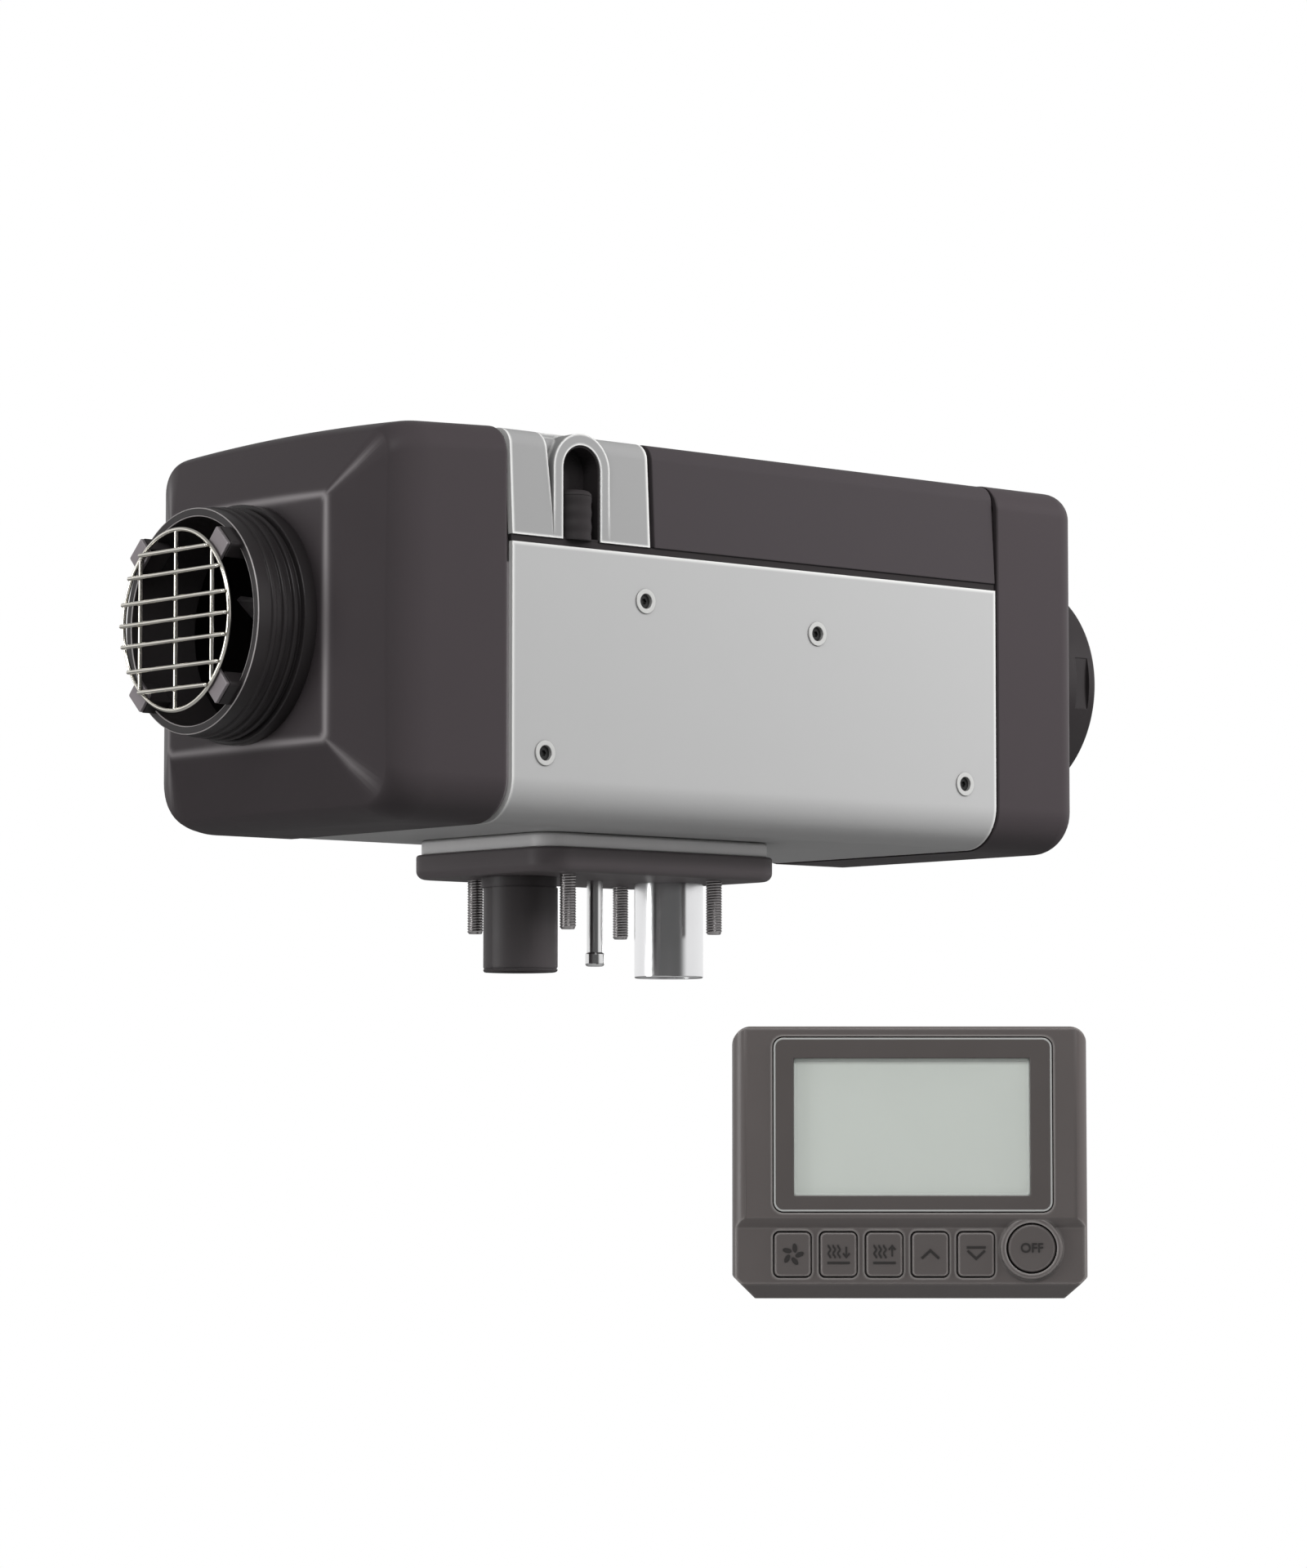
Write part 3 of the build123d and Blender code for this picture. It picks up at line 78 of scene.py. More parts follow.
def extent(node, axis):
    """Lowest and highest place of a CAD node along one axis, in millimetres."""
    low, high = span(node)
    return float(low[axis]), float(high[axis])


# ---- places that come from the frame ----
hood_low, hood_high = span("intake_hood")
jacket_low, jacket_high = span("lower_jacket")
AXIS_Z = (hood_low[2] + hood_high[2]) / 2
BACK = next(m for m in frame["record"]["mounts"] if m["name"] == "panel_back")
OUT = -np.array(BACK["axis"], float)
ACROSS = np.array([-OUT[1], OUT[0], 0.0])
UP = np.array([0.0, 0.0, 1.0])
PANEL_DEPTH = 22.0
panel_low, panel_high = span("panel_front_case")
PANEL_HEIGHT = float(panel_high[2] - panel_low[2])
PANEL_PLACE = np.array(BACK["pos_m"]) / MM - UP * PANEL_HEIGHT / 4 + OUT * PANEL_DEPTH
PANEL = (PANEL_PLACE, ACROSS, UP, OUT)

# ---- sizes that several pieces share ----
HALF = float(hood_high[1])  # half the body's width and height
LOW_CORNER, HIGH_CORNER = 16.5, 10.5  # the body's corner radii across the duct axis
LOW_INNER, HIGH_INNER = 14.0, 8.0  # the same inside the walls
SHELL_WALL = 2.5
CORNER_STEPS, SIDE_FILL = 10, 14  # parts of a section's corner, and points added on its side
FULL_TURN = 2 * math.pi
FAR = 9.0  # metres, past every part of the object


# ---- shapes ----
def rounded_outline(corners, radii, steps=8):
    """Outline of a polygon with round corners, and its outward normals.

    At a corner C between sides with normals m and n, turning by w, the points are
    P(t) = C - (m + n) / |m + n| r / cos(w / 2) + r N(t), where N turns from m to n.
    """
    c = np.array(corners, float)
    radii = np.broadcast_to(np.array(radii, float), len(c))
    if np.sum(c[:, 0] * np.roll(c[:, 1], -1) - np.roll(c[:, 0], -1) * c[:, 1]) < 0:
        c, radii = c[::-1], radii[::-1]
    side = np.roll(c, -1, 0) - c
    side /= np.linalg.norm(side, axis=1)[:, None]
    after = np.stack([side[:, 1], -side[:, 0]], 1)
    before = np.roll(after, 1, 0)
    cross = before[:, 0] * after[:, 1] - before[:, 1] * after[:, 0]
    turn = np.arctan2(cross, (before * after).sum(1))
    angle = np.arctan2(before[:, 1], before[:, 0])[:, None]
    angle = angle + turn[:, None] * np.linspace(0, 1, steps + 1)
    normals = np.stack([np.cos(angle), np.sin(angle)], -1)
    middle = before + after
    middle /= np.linalg.norm(middle, axis=1)[:, None]
    signed = np.sign(turn) * radii
    centre = c - middle * (signed / np.cos(turn / 2))[:, None]
    points = centre[:, None] + normals * signed[:, None, None]
    return points.reshape(-1, 2), normals.reshape(-1, 2)


def rectangle(width, height, radius, centre=(0.0, 0.0), steps=8):
    """Rounded rectangle as an outline with normals."""
    u, v = width / 2, height / 2
    points, normals = rounded_outline([(-u, -v), (u, -v), (u, v), (-u, v)], radius, steps)
    return points + centre, normals


def section(x, half_y, half_z, low_radius, high_radius):
    """Ring across the body at x: a rounded rectangle with points spread along its sides."""
    corners = [(-half_y, -half_z), (half_y, -half_z), (half_y, half_z), (-half_y, half_z)]
    radii = [low_radius, low_radius, high_radius, high_radius]
    points = rounded_outline(corners, radii, CORNER_STEPS)[0].reshape(4, CORNER_STEPS + 1, 2)
    start, end = points[:, -1:], np.roll(points, -1, 0)[:, :1]
    share = np.linspace(0, 1, SIDE_FILL + 2)[1:-1, None]
    points = np.concatenate([points, start + (end - start) * share], 1).reshape(-1, 2)
    return np.column_stack([np.full(len(points), x), points[:, 0], points[:, 1] + AXIS_Z])


def circle_like(ring, x, radius):
    """Circle round the duct axis at x, with its points in the directions of the ring's points."""
    flat = ring[:, 1:] - [0.0, AXIS_Z]
    flat = flat / np.linalg.norm(flat, axis=1)[:, None] * radius
    return np.column_stack([np.full(len(flat), x), flat[:, 0], flat[:, 1] + AXIS_Z])


def quarter(steps):
    """1 - sin t and 1 - cos t, for t from 0 to 90 degrees."""
    t = np.linspace(0, math.pi / 2, steps + 1)
    return 1 - np.sin(t), 1 - np.cos(t)


def eased(rings, reaches, steps):
    """Closed run of rings with each ring C rounded over its reach r.

    P(t) = C + a r (1 - sin t) + b s (1 - cos t), a and b being the directions to the rings
    before and after, and t from 0 to 90 degrees; s is r unless a pair (r, s) is given.
    """
    rings = np.array(rings)
    leaving, arriving = (share[:, None, None] for share in quarter(steps))
    out = []
    for i, reach in enumerate(reaches):
        here, before, after = rings[i], rings[i - 1], rings[(i + 1) % len(rings)]
        if not reach:
            out.append(here[None])
            continue
        a, b = before - here, after - here
        la = np.linalg.norm(a, axis=1)[:, None]
        lb = np.linalg.norm(b, axis=1)[:, None]
        first, last = reach if isinstance(reach, tuple) else (reach, reach)
        ra = np.minimum(first, 0.49 * la)
        rb = np.minimum(last, 0.49 * lb)
        out.append(here + a / la * ra * leaving + b / lb * rb * arriving)
    return np.concatenate(out)


def placed(flat, basis):
    """Points (u, v, w) moved to origin + u U + v V + w W."""
    origin, u, v, w = (np.array(x, float) for x in basis)
    return origin + flat[..., :1] * u + flat[..., 1:2] * v + flat[..., 2:3] * w


def lattice(points, loop=False):
    """Rings of points joined by four-sided faces; loop joins the last ring to the first."""
    index = np.arange(points.shape[0] * points.shape[1]).reshape(points.shape[:2])
    a = index if loop else index[:-1]
    b = np.roll(index, -1, 0) if loop else index[1:]
    quads = np.stack([a, np.roll(a, -1, 1), np.roll(b, -1, 1), b], -1).reshape(-1, 4)
    caps = [] if loop else [index[0][::-1], index[-1]]
    return points.reshape(-1, 3), quads, caps


def plate(outline, low, high, edge, basis, top_edge=None, steps=4):
    """Solid over an outline P with normals N, edges rounded by r.

    Low edge: (P - N r (1 - sin t), low + r (1 - cos t)); the high edge mirrors it.
    """
    points, normals = outline
    sine, cosine = quarter(steps)
    top = edge if top_edge is None else top_edge
    offset = np.concatenate([-edge * sine, -top * cosine])
    height = np.concatenate([low + edge * cosine, high - top * sine])
    flat = points[None] + normals[None] * offset[:, None, None]
    level = np.broadcast_to(height[:, None, None], flat.shape[:2] + (1,))
    return lattice(placed(np.concatenate([flat, level], -1), basis))


def ring_plate(outer, inner, low, high, edge, basis, steps=4):
    """Plate between two outlines, its four edges rounded as in plate()."""
    sine, cosine = quarter(steps)
    offset = np.concatenate([-edge * sine, -edge * cosine])
    height = np.concatenate([low + edge * cosine, high - edge * sine])
    runs = []
    for (points, normals), sign, order in ((outer, 1, 1), (inner, -1, -1)):
        flat = points[None] + sign * normals[None] * offset[::order, None, None]
        level = np.broadcast_to(height[::order, None, None], flat.shape[:2] + (1,))
        runs.append(np.concatenate([flat, level], -1))
    return lattice(placed(np.concatenate(runs), basis), loop=True)


def turned(profile, basis, steps=96, loop=True, flare=None):
    """Surface of revolution: P = O + s W + (r + flare(s, a)) (cos a U + sin a V)."""
    s, r = np.array(profile, float).T
    a = np.linspace(0, FULL_TURN, steps, endpoint=False) if np.isscalar(steps) else steps
    radius = r[:, None] + (0 if flare is None else flare(s[:, None], a[None], r[:, None]))
    radius = np.broadcast_to(radius, (len(s), len(a)))
    along = np.broadcast_to(s[:, None], radius.shape)
    flat = np.stack([radius * np.cos(a), radius * np.sin(a), along], -1)
    return lattice(placed(flat, basis), loop=loop)


def tube(corners, radii, basis, steps=96, round_steps=5):
    """Hollow turned part from a closed (along, radius) profile with round corners."""
    return turned(rounded_outline(corners, radii, round_steps)[0], basis, steps)


def capsule(start, end, radius, steps=20):
    """Wire with round ends: radius r sqrt(1 - q^2) over the last r of each end."""
    start, end = np.array(start, float), np.array(end, float)
    length = np.linalg.norm(end - start)
    along = (end - start) / length
    side = np.cross(along, [0.3, 0.5, 0.8])
    side /= np.linalg.norm(side)
    t = np.linspace(0.02, math.pi / 2, 6)
    s = np.concatenate([radius * (1 - np.cos(t)), length - radius * (1 - np.cos(t[::-1]))])
    r = np.concatenate([radius * np.sin(t), radius * np.sin(t[::-1])])
    basis = (start, side, np.cross(along, side), along)
    return turned(np.stack([s, r], 1), basis, steps, loop=False)


def basis_x(x=0.0, y=0.0, z=None):
    """Frame whose third axis runs along X, on the duct axis unless y and z are given."""
    return ((x, y, AXIS_Z if z is None else z), (0, 1, 0), (0, 0, 1), (1, 0, 0))


def basis_z(x=0.0, y=0.0, z=0.0):
    """Frame whose third axis runs up."""
    return ((x, y, z), (1, 0, 0), (0, 1, 0), (0, 0, 1))


# ---- pieces ----
SAME_PLACE = 2e-7  # metres within which two points of a mesh are joined


def shown(name, data):
    """Object of a mesh, lamp, camera or text, put into the scene."""
    obj = bpy.data.objects.new(name, data)
    scene.collection.objects.link(obj)
    return obj


def piece(name, parts, material, slot, ridge=None, **options):
    """Closed mesh made of one or more lattices, riding on a CAD body.

    ridge gives each point its share of a painted highlight colour along the edges.
    """
    start, verts, faces = 0, [], []
    for points, quads, caps in parts:
        verts.append(points)
        faces += (quads + start).tolist() + [(cap + start).tolist() for cap in caps]
        start += len(points)
    mesh = bpy.data.meshes.new(name)
    mesh.from_pydata((np.concatenate(verts) * MM).tolist(), [], faces)
    # per-point share of the painted ridge highlight
    if ridge is not None:
        layer = mesh.attributes.new("ridge", "FLOAT", "POINT")
        layer.data.foreach_set("value", np.ascontiguousarray(ridge, np.float32).ravel())
    finished(name, mesh, material, slot, **options)


def skin(node, parts, material, slot, **options):
    """Piece that stands for the CAD node of its name."""
    piece(node + "_skin", parts, material, slot, replaces=(node,), **options)


def finished(name, mesh, material, slot, replaces=(), body="root", sharp=32, weighted=True):
    """Joins a mesh's seams, turns its faces outwards and makes it a piece."""
    work = bmesh.new()
    work.from_mesh(mesh)
    bmesh.ops.remove_doubles(work, verts=work.verts, dist=SAME_PLACE)
    bmesh.ops.recalc_face_normals(work, faces=work.faces)
    work.to_mesh(mesh)
    work.free()
    mesh.polygons.foreach_set("use_smooth", np.ones(len(mesh.polygons), bool))
    mesh.set_sharp_from_angle(angle=math.radians(sharp))
    mesh.materials.clear()
    mesh.materials.append(material)
    obj = shown(name, mesh)
    if weighted:
        modifier = obj.modifiers.new("flat faces keep their normals", "WEIGHTED_NORMAL")
        modifier.keep_sharp = True
    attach(obj, body)
    if replaces:
        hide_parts(*replaces)


def copied(node, material, slot, sharp=28):
    """Piece with the CAD node's own shape, its faces joined so that its rounds shade smoothly."""
    mesh = frame["nodes"][node].data.copy()
    mesh.name = node + "_skin"
    for attribute in [a for a in mesh.attributes if a.name == "custom_normal"]:
        mesh.attributes.remove(attribute)
    body = frame["nodes"][node]["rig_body"]
    finished(node + "_skin", mesh, material, slot, (node,), body, sharp)


def paint(look, *nodes):
    """Gives a finish to CAD nodes that are shown with their own shape."""
    for node in nodes:
        mesh = frame["nodes"][node].data
        mesh.materials.clear()
        mesh.materials.append(look)


# ---- materials ----
def feed(tree, node, values):
    """Sets or links a node's inputs, named or numbered."""
    for key, value in values.items():
        if isinstance(value, bpy.types.NodeSocket):
            tree.links.new(value, node.inputs[key])
        else:
            node.inputs[key].default_value = value


def add(tree, kind, **values):
    """Node with some of its settings and inputs given; i0, i1 and so on are numbered inputs."""
    node = tree.nodes.new(kind)
    for key, value in values.items():
        if hasattr(node, key) and key not in node.inputs:
            setattr(node, key, value)
        else:
            numbered = key[0] == "i" and key[1:].isdigit()
            feed(tree, node, {int(key[1:]) if numbered else key: value})
    return node


def new_group(name, inputs, outputs):
    """Empty shader group with named sockets, its input node and its output node."""
    tree = bpy.data.node_groups.new(name, "ShaderNodeTree")
    kinds = {"F": "NodeSocketFloat", "C": "NodeSocketColor", "V": "NodeSocketVector"}
    for label, kind, value in inputs:
        socket = tree.interface.new_socket(label, in_out="INPUT", socket_type=kinds[kind])
        if value is not None:
            socket.default_value = value
    for label, kind in outputs:
        tree.interface.new_socket(label, in_out="OUTPUT", socket_type=kinds[kind])
    return tree, tree.nodes.new("NodeGroupInput"), tree.nodes.new("NodeGroupOutput")


def math_node(tree, operation, a, b=0.0, c=0.0):
    """Value that the operation makes of up to three values."""
    return add(tree, "ShaderNodeMath", operation=operation, i0=a, i1=b, i2=c).outputs[0]


def vector_node(tree, operation, a, b=(0.0, 0.0, 0.0)):
    """Vector that the operation makes of one or two vectors."""
    return add(tree, "ShaderNodeVectorMath", operation=operation, i0=a, i1=b).outputs[0]


def scaled(tree, colour, gain):
    """Colour times a value."""
    made = add(tree, "ShaderNodeVectorMath", operation="SCALE", i0=colour, Scale=gain)
    return made.outputs[0]


def noise(tree, place, scale, detail):
    """Noise value, from 0 to 1, at a place."""
    made = add(tree, "ShaderNodeTexNoise", Vector=place, Scale=scale, Detail=detail)
    return made.outputs[0]


def mixed(tree, share, first, second):
    """Colour between two colours."""
    made = add(tree, "ShaderNodeMix", data_type="RGBA", i0=share, i6=first, i7=second)
    return made.outputs[2]


def ramp(tree, value, start, end, first=0.0, last=1.0):
    """Value that turns smoothly from first to last while the given one goes from start to end."""
    sockets = {"Value": value, "From Min": start, "From Max": end, "To Min": first, "To Max": last}
    made = add(tree, "ShaderNodeMapRange", interpolation_type="SMOOTHSTEP", **sockets)
    return made.outputs[0]


def surface_group():
    """Moulded or coated surface: fine relief, broad mottling and rounded edges.

    Colour = base (1 + variation (2 broad - 1)), turned towards the painted edge highlight colour
    where a wide edge rounding bends the normal on a convex edge, and darkened by painted crease
    shade where ambient occlusion finds other surfaces near; roughness varies likewise; normal =
    bump of the fine noise on the normal that the edge rounding gives.
    """
    tree, given, result = new_group(
        "Surface",
        [
            ("Colour", "C", (0.5, 0.5, 0.5, 1.0)),
            ("Variation", "F", 0.03),
            ("Roughness", "F", 0.5),
            ("Roughness spread", "F", 0.1),
            ("Grain scale", "F", 1500.0),
            ("Grain depth", "F", 0.00002),
            ("Edge radius", "F", 0.0003),
            ("Edge highlight colour", "C", (0.5, 0.5, 0.5, 1.0)),
            ("Edge highlight width", "F", 0.001),
            ("Edge highlight share", "F", 0.0),
            ("Crease shade", "F", 0.5),
        ],
        [("Colour", "C"), ("Roughness", "F"), ("Normal", "V")],
    )
    place = add(tree, "ShaderNodeTexCoord").outputs["Object"]
    fine = noise(tree, place, given.outputs["Grain scale"], 3.0)
    broad = noise(tree, place, 60.0, 2.0)
    swing = math_node(tree, "MULTIPLY_ADD", broad, 2.0, -1.0)
    gain = math_node(tree, "MULTIPLY_ADD", swing, given.outputs["Variation"], 1.0)
    colour = scaled(tree, given.outputs["Colour"], gain)
    spread, level = given.outputs["Roughness spread"], given.outputs["Roughness"]
    rough = math_node(tree, "MULTIPLY_ADD", swing, spread, level)
    edge = add(tree, "ShaderNodeBevel", samples=4, Radius=given.outputs["Edge radius"])
    depth = given.outputs["Grain depth"]
    bump = add(tree, "ShaderNodeBump", Height=fine, Distance=depth, Normal=edge.outputs[0])
    # painted highlight: where a wide bevel bends the normal on a convex edge, the colour turns
    # towards a light edge colour
    wide = add(tree, "ShaderNodeBevel", samples=6, Radius=given.outputs["Edge highlight width"]).outputs[0]
    true = add(tree, "ShaderNodeNewGeometry").outputs["Normal"]
    dot = add(tree, "ShaderNodeVectorMath", operation="DOT_PRODUCT", i0=wide, i1=true)
    bent = ramp(tree, dot.outputs["Value"], 0.985, 0.90)
    # painted shade: ambient occlusion darkens creases, and keeps the painted highlight off concave
    # edges
    open_air = add(tree, "ShaderNodeAmbientOcclusion", samples=4, Distance=0.004).outputs["AO"]
    outer = math_node(tree, "MULTIPLY", bent, open_air)
    share = math_node(tree, "MULTIPLY", outer, given.outputs["Edge highlight share"])
    edge_highlighted = mixed(tree, share, colour, given.outputs["Edge highlight colour"])
    closed = math_node(tree, "SUBTRACT", 1.0, open_air)
    shade = math_node(tree, "MULTIPLY", closed, given.outputs["Crease shade"])
    light = math_node(tree, "SUBTRACT", 1.0, shade)
    lit = scaled(tree, edge_highlighted, light)
    feed(tree, result, {"Colour": lit, "Roughness": rough, "Normal": bump.outputs[0]})
    return tree


def stripes_group():
    """Fine lines across one direction: noise on stretched coordinates, as a value round 0."""
    tree, given, result = new_group(
        "Lines", [("Stretch", "V", (1.0, 1.0, 1.0)), ("Scale", "F", 400.0)], [("Lines", "F")]
    )
    place = add(tree, "ShaderNodeTexCoord").outputs["Object"]
    stretched = vector_node(tree, "MULTIPLY", place, given.outputs["Stretch"])
    value = noise(tree, stretched, given.outputs["Scale"], 2.0)
    feed(tree, result, {"Lines": math_node(tree, "SUBTRACT", value, 0.5)})
    return tree


def highlight_band_group():
    """Share of the painted edge highlight: 1 at the faces x and z of the box from Low to High and
    0 deeper than Width.
    """
    corners = [("Low", "V", (-FAR, -FAR, -FAR)), ("High", "V", (FAR, FAR, FAR))]
    tree, given, result = new_group(
        "Painted edge highlight band", corners + [("Width", "F", 0.001)], [("Share", "F")]
    )
    place = add(tree, "ShaderNodeTexCoord").outputs["Object"]
    low = vector_node(tree, "SUBTRACT", place, given.outputs["Low"])
    high = vector_node(tree, "SUBTRACT", given.outputs["High"], place)
    parts = add(tree, "ShaderNodeSeparateXYZ", i0=vector_node(tree, "MINIMUM", low, high))
    depth = math_node(tree, "MINIMUM", parts.outputs["X"], parts.outputs["Z"])
    feed(tree, result, {"Share": ramp(tree, depth, 0.0, given.outputs["Width"], 1.0, 0.0)})
    return tree


SURFACE = surface_group()
LINES = stripes_group()
HIGHLIGHT_BAND = highlight_band_group()


def grouped(tree, group, values):
    """Shader group placed in a material with its own values."""
    node = tree.nodes.new("ShaderNodeGroup")
    node.node_tree = group
    feed(tree, node, values)
    return node


def material(name, colour, rough, metal=0.0, relief=0.02, grain=1500.0, variation=0.03,
             spread=0.05, edge=0.3, coat=0.0, specular=0.5, lines=None, rim=None, crease=0.5,
             highlight_band=None, ridge=None):
    """Principled material on the shared surface group; relief and edge in millimetres.

    rim is a colour, width and share for a painted highlight on every convex edge; highlight_band a
    colour, two corners and a width for a painted highlight at the ends of a box; ridge a
    colour for the piece's painted ridge highlight shares; lines a stretch, scale and depth for
    fine lines in the roughness; crease is the strength of the painted crease shade.
    """
    made = bpy.data.materials.new(name)
    made.use_nodes = True
    tree = made.node_tree
    shader = tree.nodes["Principled BSDF"]
    values = {
        "Colour": (*colour, 1.0),
        "Variation": variation,
        "Roughness": rough,
        "Roughness spread": spread,
        "Grain scale": grain,
        "Grain depth": relief * MM,
        "Edge radius": edge * MM,
        "Crease shade": crease,
    }
    # painted highlight on every convex edge
    if rim:
        values |= {"Edge highlight colour": (*rim[0], 1.0), "Edge highlight width": rim[1] * MM, "Edge highlight share": rim[2]}
    group = grouped(tree, SURFACE, values)
    look = group.outputs["Colour"]
    # painted highlight at the ends of a box
    if highlight_band:
        edges = grouped(tree, HIGHLIGHT_BAND, {"Low": highlight_band[1], "High": highlight_band[2], "Width": highlight_band[3] * MM})
        look = mixed(tree, edges.outputs[0], look, (*highlight_band[0], 1.0))
    # painted highlight on the ridges, from the point attribute
    if ridge:
        bright = add(tree, "ShaderNodeAttribute", attribute_name="ridge").outputs["Fac"]
        look = mixed(tree, bright, look, (*ridge, 1.0))
    roughness = group.outputs["Roughness"]
    if lines:
        stripes = grouped(tree, LINES, {"Stretch": lines[0], "Scale": lines[1]}).outputs[0]
        roughness = math_node(tree, "MULTIPLY_ADD", stripes, lines[2], roughness)
    feed(tree, shader, {
        "Base Color": look,
        "Roughness": roughness,
        "Normal": group.outputs["Normal"],
        "Metallic": metal,
        "Specular IOR Level": specular,
        "Coat Weight": coat,
    })
    return made


def ends(node, high_z=FAR):
    """Low and high corner, in metres, of the box whose x faces and top carry a painted edge
    highlight.
    """
    low, high = span(node)
    return (low[0] * MM, -FAR, -FAR), (high[0] * MM, FAR, high_z)


# its light ridge colour is a painted highlight on the intake hood's pyramid edges
black_shell = material(
    "black shell", (0.046, 0.039, 0.042), 0.46, relief=0.010, grain=1400, specular=0.12,
    ridge=(0.22, 0.205, 0.21),
)
black_cover = material(
    "black cover", (0.047, 0.041, 0.044), 0.5, relief=0.010, grain=1400, specular=0.10
)
black_neck = material(
    "black neck", (0.026, 0.023, 0.024), 0.34, relief=0.005, edge=0.2, specular=0.22
)
# light grey for thin rings on the neck's rim: a painted highlight
neck_rim_highlight = material("neck rim highlight", (0.30, 0.28, 0.28), 0.3, relief=0.0, edge=0.1, crease=0.0)
# painted highlight: pale bands along the grey shells' ends and top edges
PAINTED_EDGE_HIGHLIGHT = (0.62, 0.62, 0.61)
grey_jacket = material(
    "grey jacket", (0.355, 0.355, 0.355), 0.5, relief=0.006, grain=900, variation=0.01,
    highlight_band=(PAINTED_EDGE_HIGHLIGHT, *ends("lower_jacket", jacket_high[2] * MM), 1.6),
)
# the saddle's pale rim on every edge is a painted highlight too
grey_saddle = material(
    "grey saddle", (0.262, 0.262, 0.262), 0.5, relief=0.01, grain=1200, variation=0.01,
    specular=0.3, rim=((0.74, 0.74, 0.73), 1.8, 1.0),
    highlight_band=(PAINTED_EDGE_HIGHLIGHT, *ends("upper_saddle"), 1.6),
)
black_rubber = material("black rubber", (0.024, 0.021, 0.022), 0.62, relief=0.02, specular=0.25)
seal_rubber = material("seal rubber", (0.100, 0.088, 0.092), 0.5, relief=0.02, specular=0.25)
wire = material("grille wire", (0.88, 0.85, 0.78), 0.2, metal=1.0, relief=0.002, edge=0.05)
# the clips' pale rim on every edge is a painted highlight
clip_metal = material(
    "clip metal", (0.20, 0.18, 0.19), 0.45, metal=0.5, relief=0.01, edge=0.3,
    rim=((0.7, 0.68, 0.68), 0.6, 0.8),
)
cast = material("cast aluminium", (0.80, 0.79, 0.79), 0.5, metal=0.1, relief=0.03, grain=700)
stud_steel = material(
    "stud steel", (0.50, 0.48, 0.48), 0.28, metal=1.0, relief=0.004, edge=0.05
)
stub_plastic = material("stub plastic", (0.056, 0.050, 0.052), 0.48, relief=0.01, specular=0.25)
polished = material("polished steel", (0.90, 0.90, 0.91), 0.20, metal=1.0, relief=0.0, edge=0.1)
pipe_steel = material(
    "pipe steel", (0.82, 0.82, 0.82), 0.16, metal=1.0, relief=0.001, edge=0.05
)
eyelet_metal = material(
    "eyelet metal", (0.50, 0.50, 0.49), 0.35, metal=0.3, relief=0.002, edge=0.1
)
screw_steel = material(
    "screw steel", (0.03, 0.03, 0.03), 0.35, metal=0.5, relief=0.003, edge=0.05
)
liner_sheet = material(
    "liner sheet", (0.7, 0.7, 0.7), 0.35, metal=1.0, lines=((1, 30, 30), 300, 0.3)
)
frame_plastic = material("frame plastic", (0.28, 0.26, 0.27), 0.5, crease=0.0)
motor_steel = material(
    "motor steel", (0.5, 0.5, 0.51), 0.3, metal=1.0, lines=((40, 1, 1), 200, 0.3)
)
magnet = material("magnet", (0.06, 0.06, 0.065), 0.6, metal=0.3)
armature = material(
    "armature", (0.45, 0.30, 0.20), 0.4, metal=0.8, lines=((60, 1, 1), 60, 0.6)
)
bearing_steel = material("bearing steel", (0.7, 0.7, 0.71), 0.15, metal=1.0, relief=0.001)
fan_plastic = material("fan plastic", (0.42, 0.40, 0.41), 0.5, crease=0.0)
gasket_paper = material(
    "gasket paper", (0.2, 0.19, 0.17), 0.8, relief=0.05, grain=900, variation=0.2
)
chamber_steel = material("chamber steel", (0.42, 0.34, 0.27), 0.35, metal=1.0, variation=0.25)
ceramic_plug = material("ceramic plug", (0.75, 0.72, 0.66), 0.35)
unit_case = material("control unit case", (0.05, 0.05, 0.052), 0.45, relief=0.03)
circuit_board = material("circuit board", (0.01, 0.10, 0.04), 0.3, variation=0.3, coat=0.4)
# the case's pale rim on every edge is a painted highlight
panel_case = material(
    "panel case", (0.105, 0.092, 0.089), 0.42, relief=0.006, grain=1800, edge=0.45,
    rim=((0.34, 0.32, 0.31), 1.8, 0.9),
)
panel_bezel = material(
    "panel bezel", (0.086, 0.075, 0.072), 0.42, relief=0.004, grain=1800, edge=0.2
)
# light grey for the bezel's outer line: a painted highlight
bezel_highlight = material(
    "bezel highlight", (0.42, 0.43, 0.42), 0.35, relief=0.002, edge=0.05, crease=0.0
)
# the keys' pale rim on every edge is a painted highlight
key_plastic = material(
    "key plastic", (0.100, 0.088, 0.085), 0.42, relief=0.004, grain=1800, edge=0.15,
    rim=((0.42, 0.39, 0.38), 1.2, 1.0),
)
mark_plastic = material(
    "mark plastic", (0.028, 0.025, 0.024), 0.4, relief=0.002, grain=1800, edge=0.05, crease=0.0
)
lcd_face = material(
    "display face", (0.735, 0.75, 0.732), 0.35, relief=0.0, grain=200, variation=0.01, crease=0.0
)
# pale colour for the line along the window's edge: a painted highlight
lcd_highlight = material("display highlight", (0.80, 0.81, 0.80), 0.3, relief=0.0, variation=0.0, crease=0.0)
led_lens = material("indicator lens", (0.35, 0.32, 0.30), 0.2, relief=0.0, coat=0.5)


def empty_material(name):
    """Material without nodes, and its tree."""
    made = bpy.data.materials.new(name)
    made.use_nodes = True
    made.node_tree.nodes.clear()
    return made, made.node_tree


def blended(tree, share, first, second):
    """Shader between two shaders."""
    return add(tree, "ShaderNodeMixShader", i0=share, i1=first, i2=second).outputs[0]


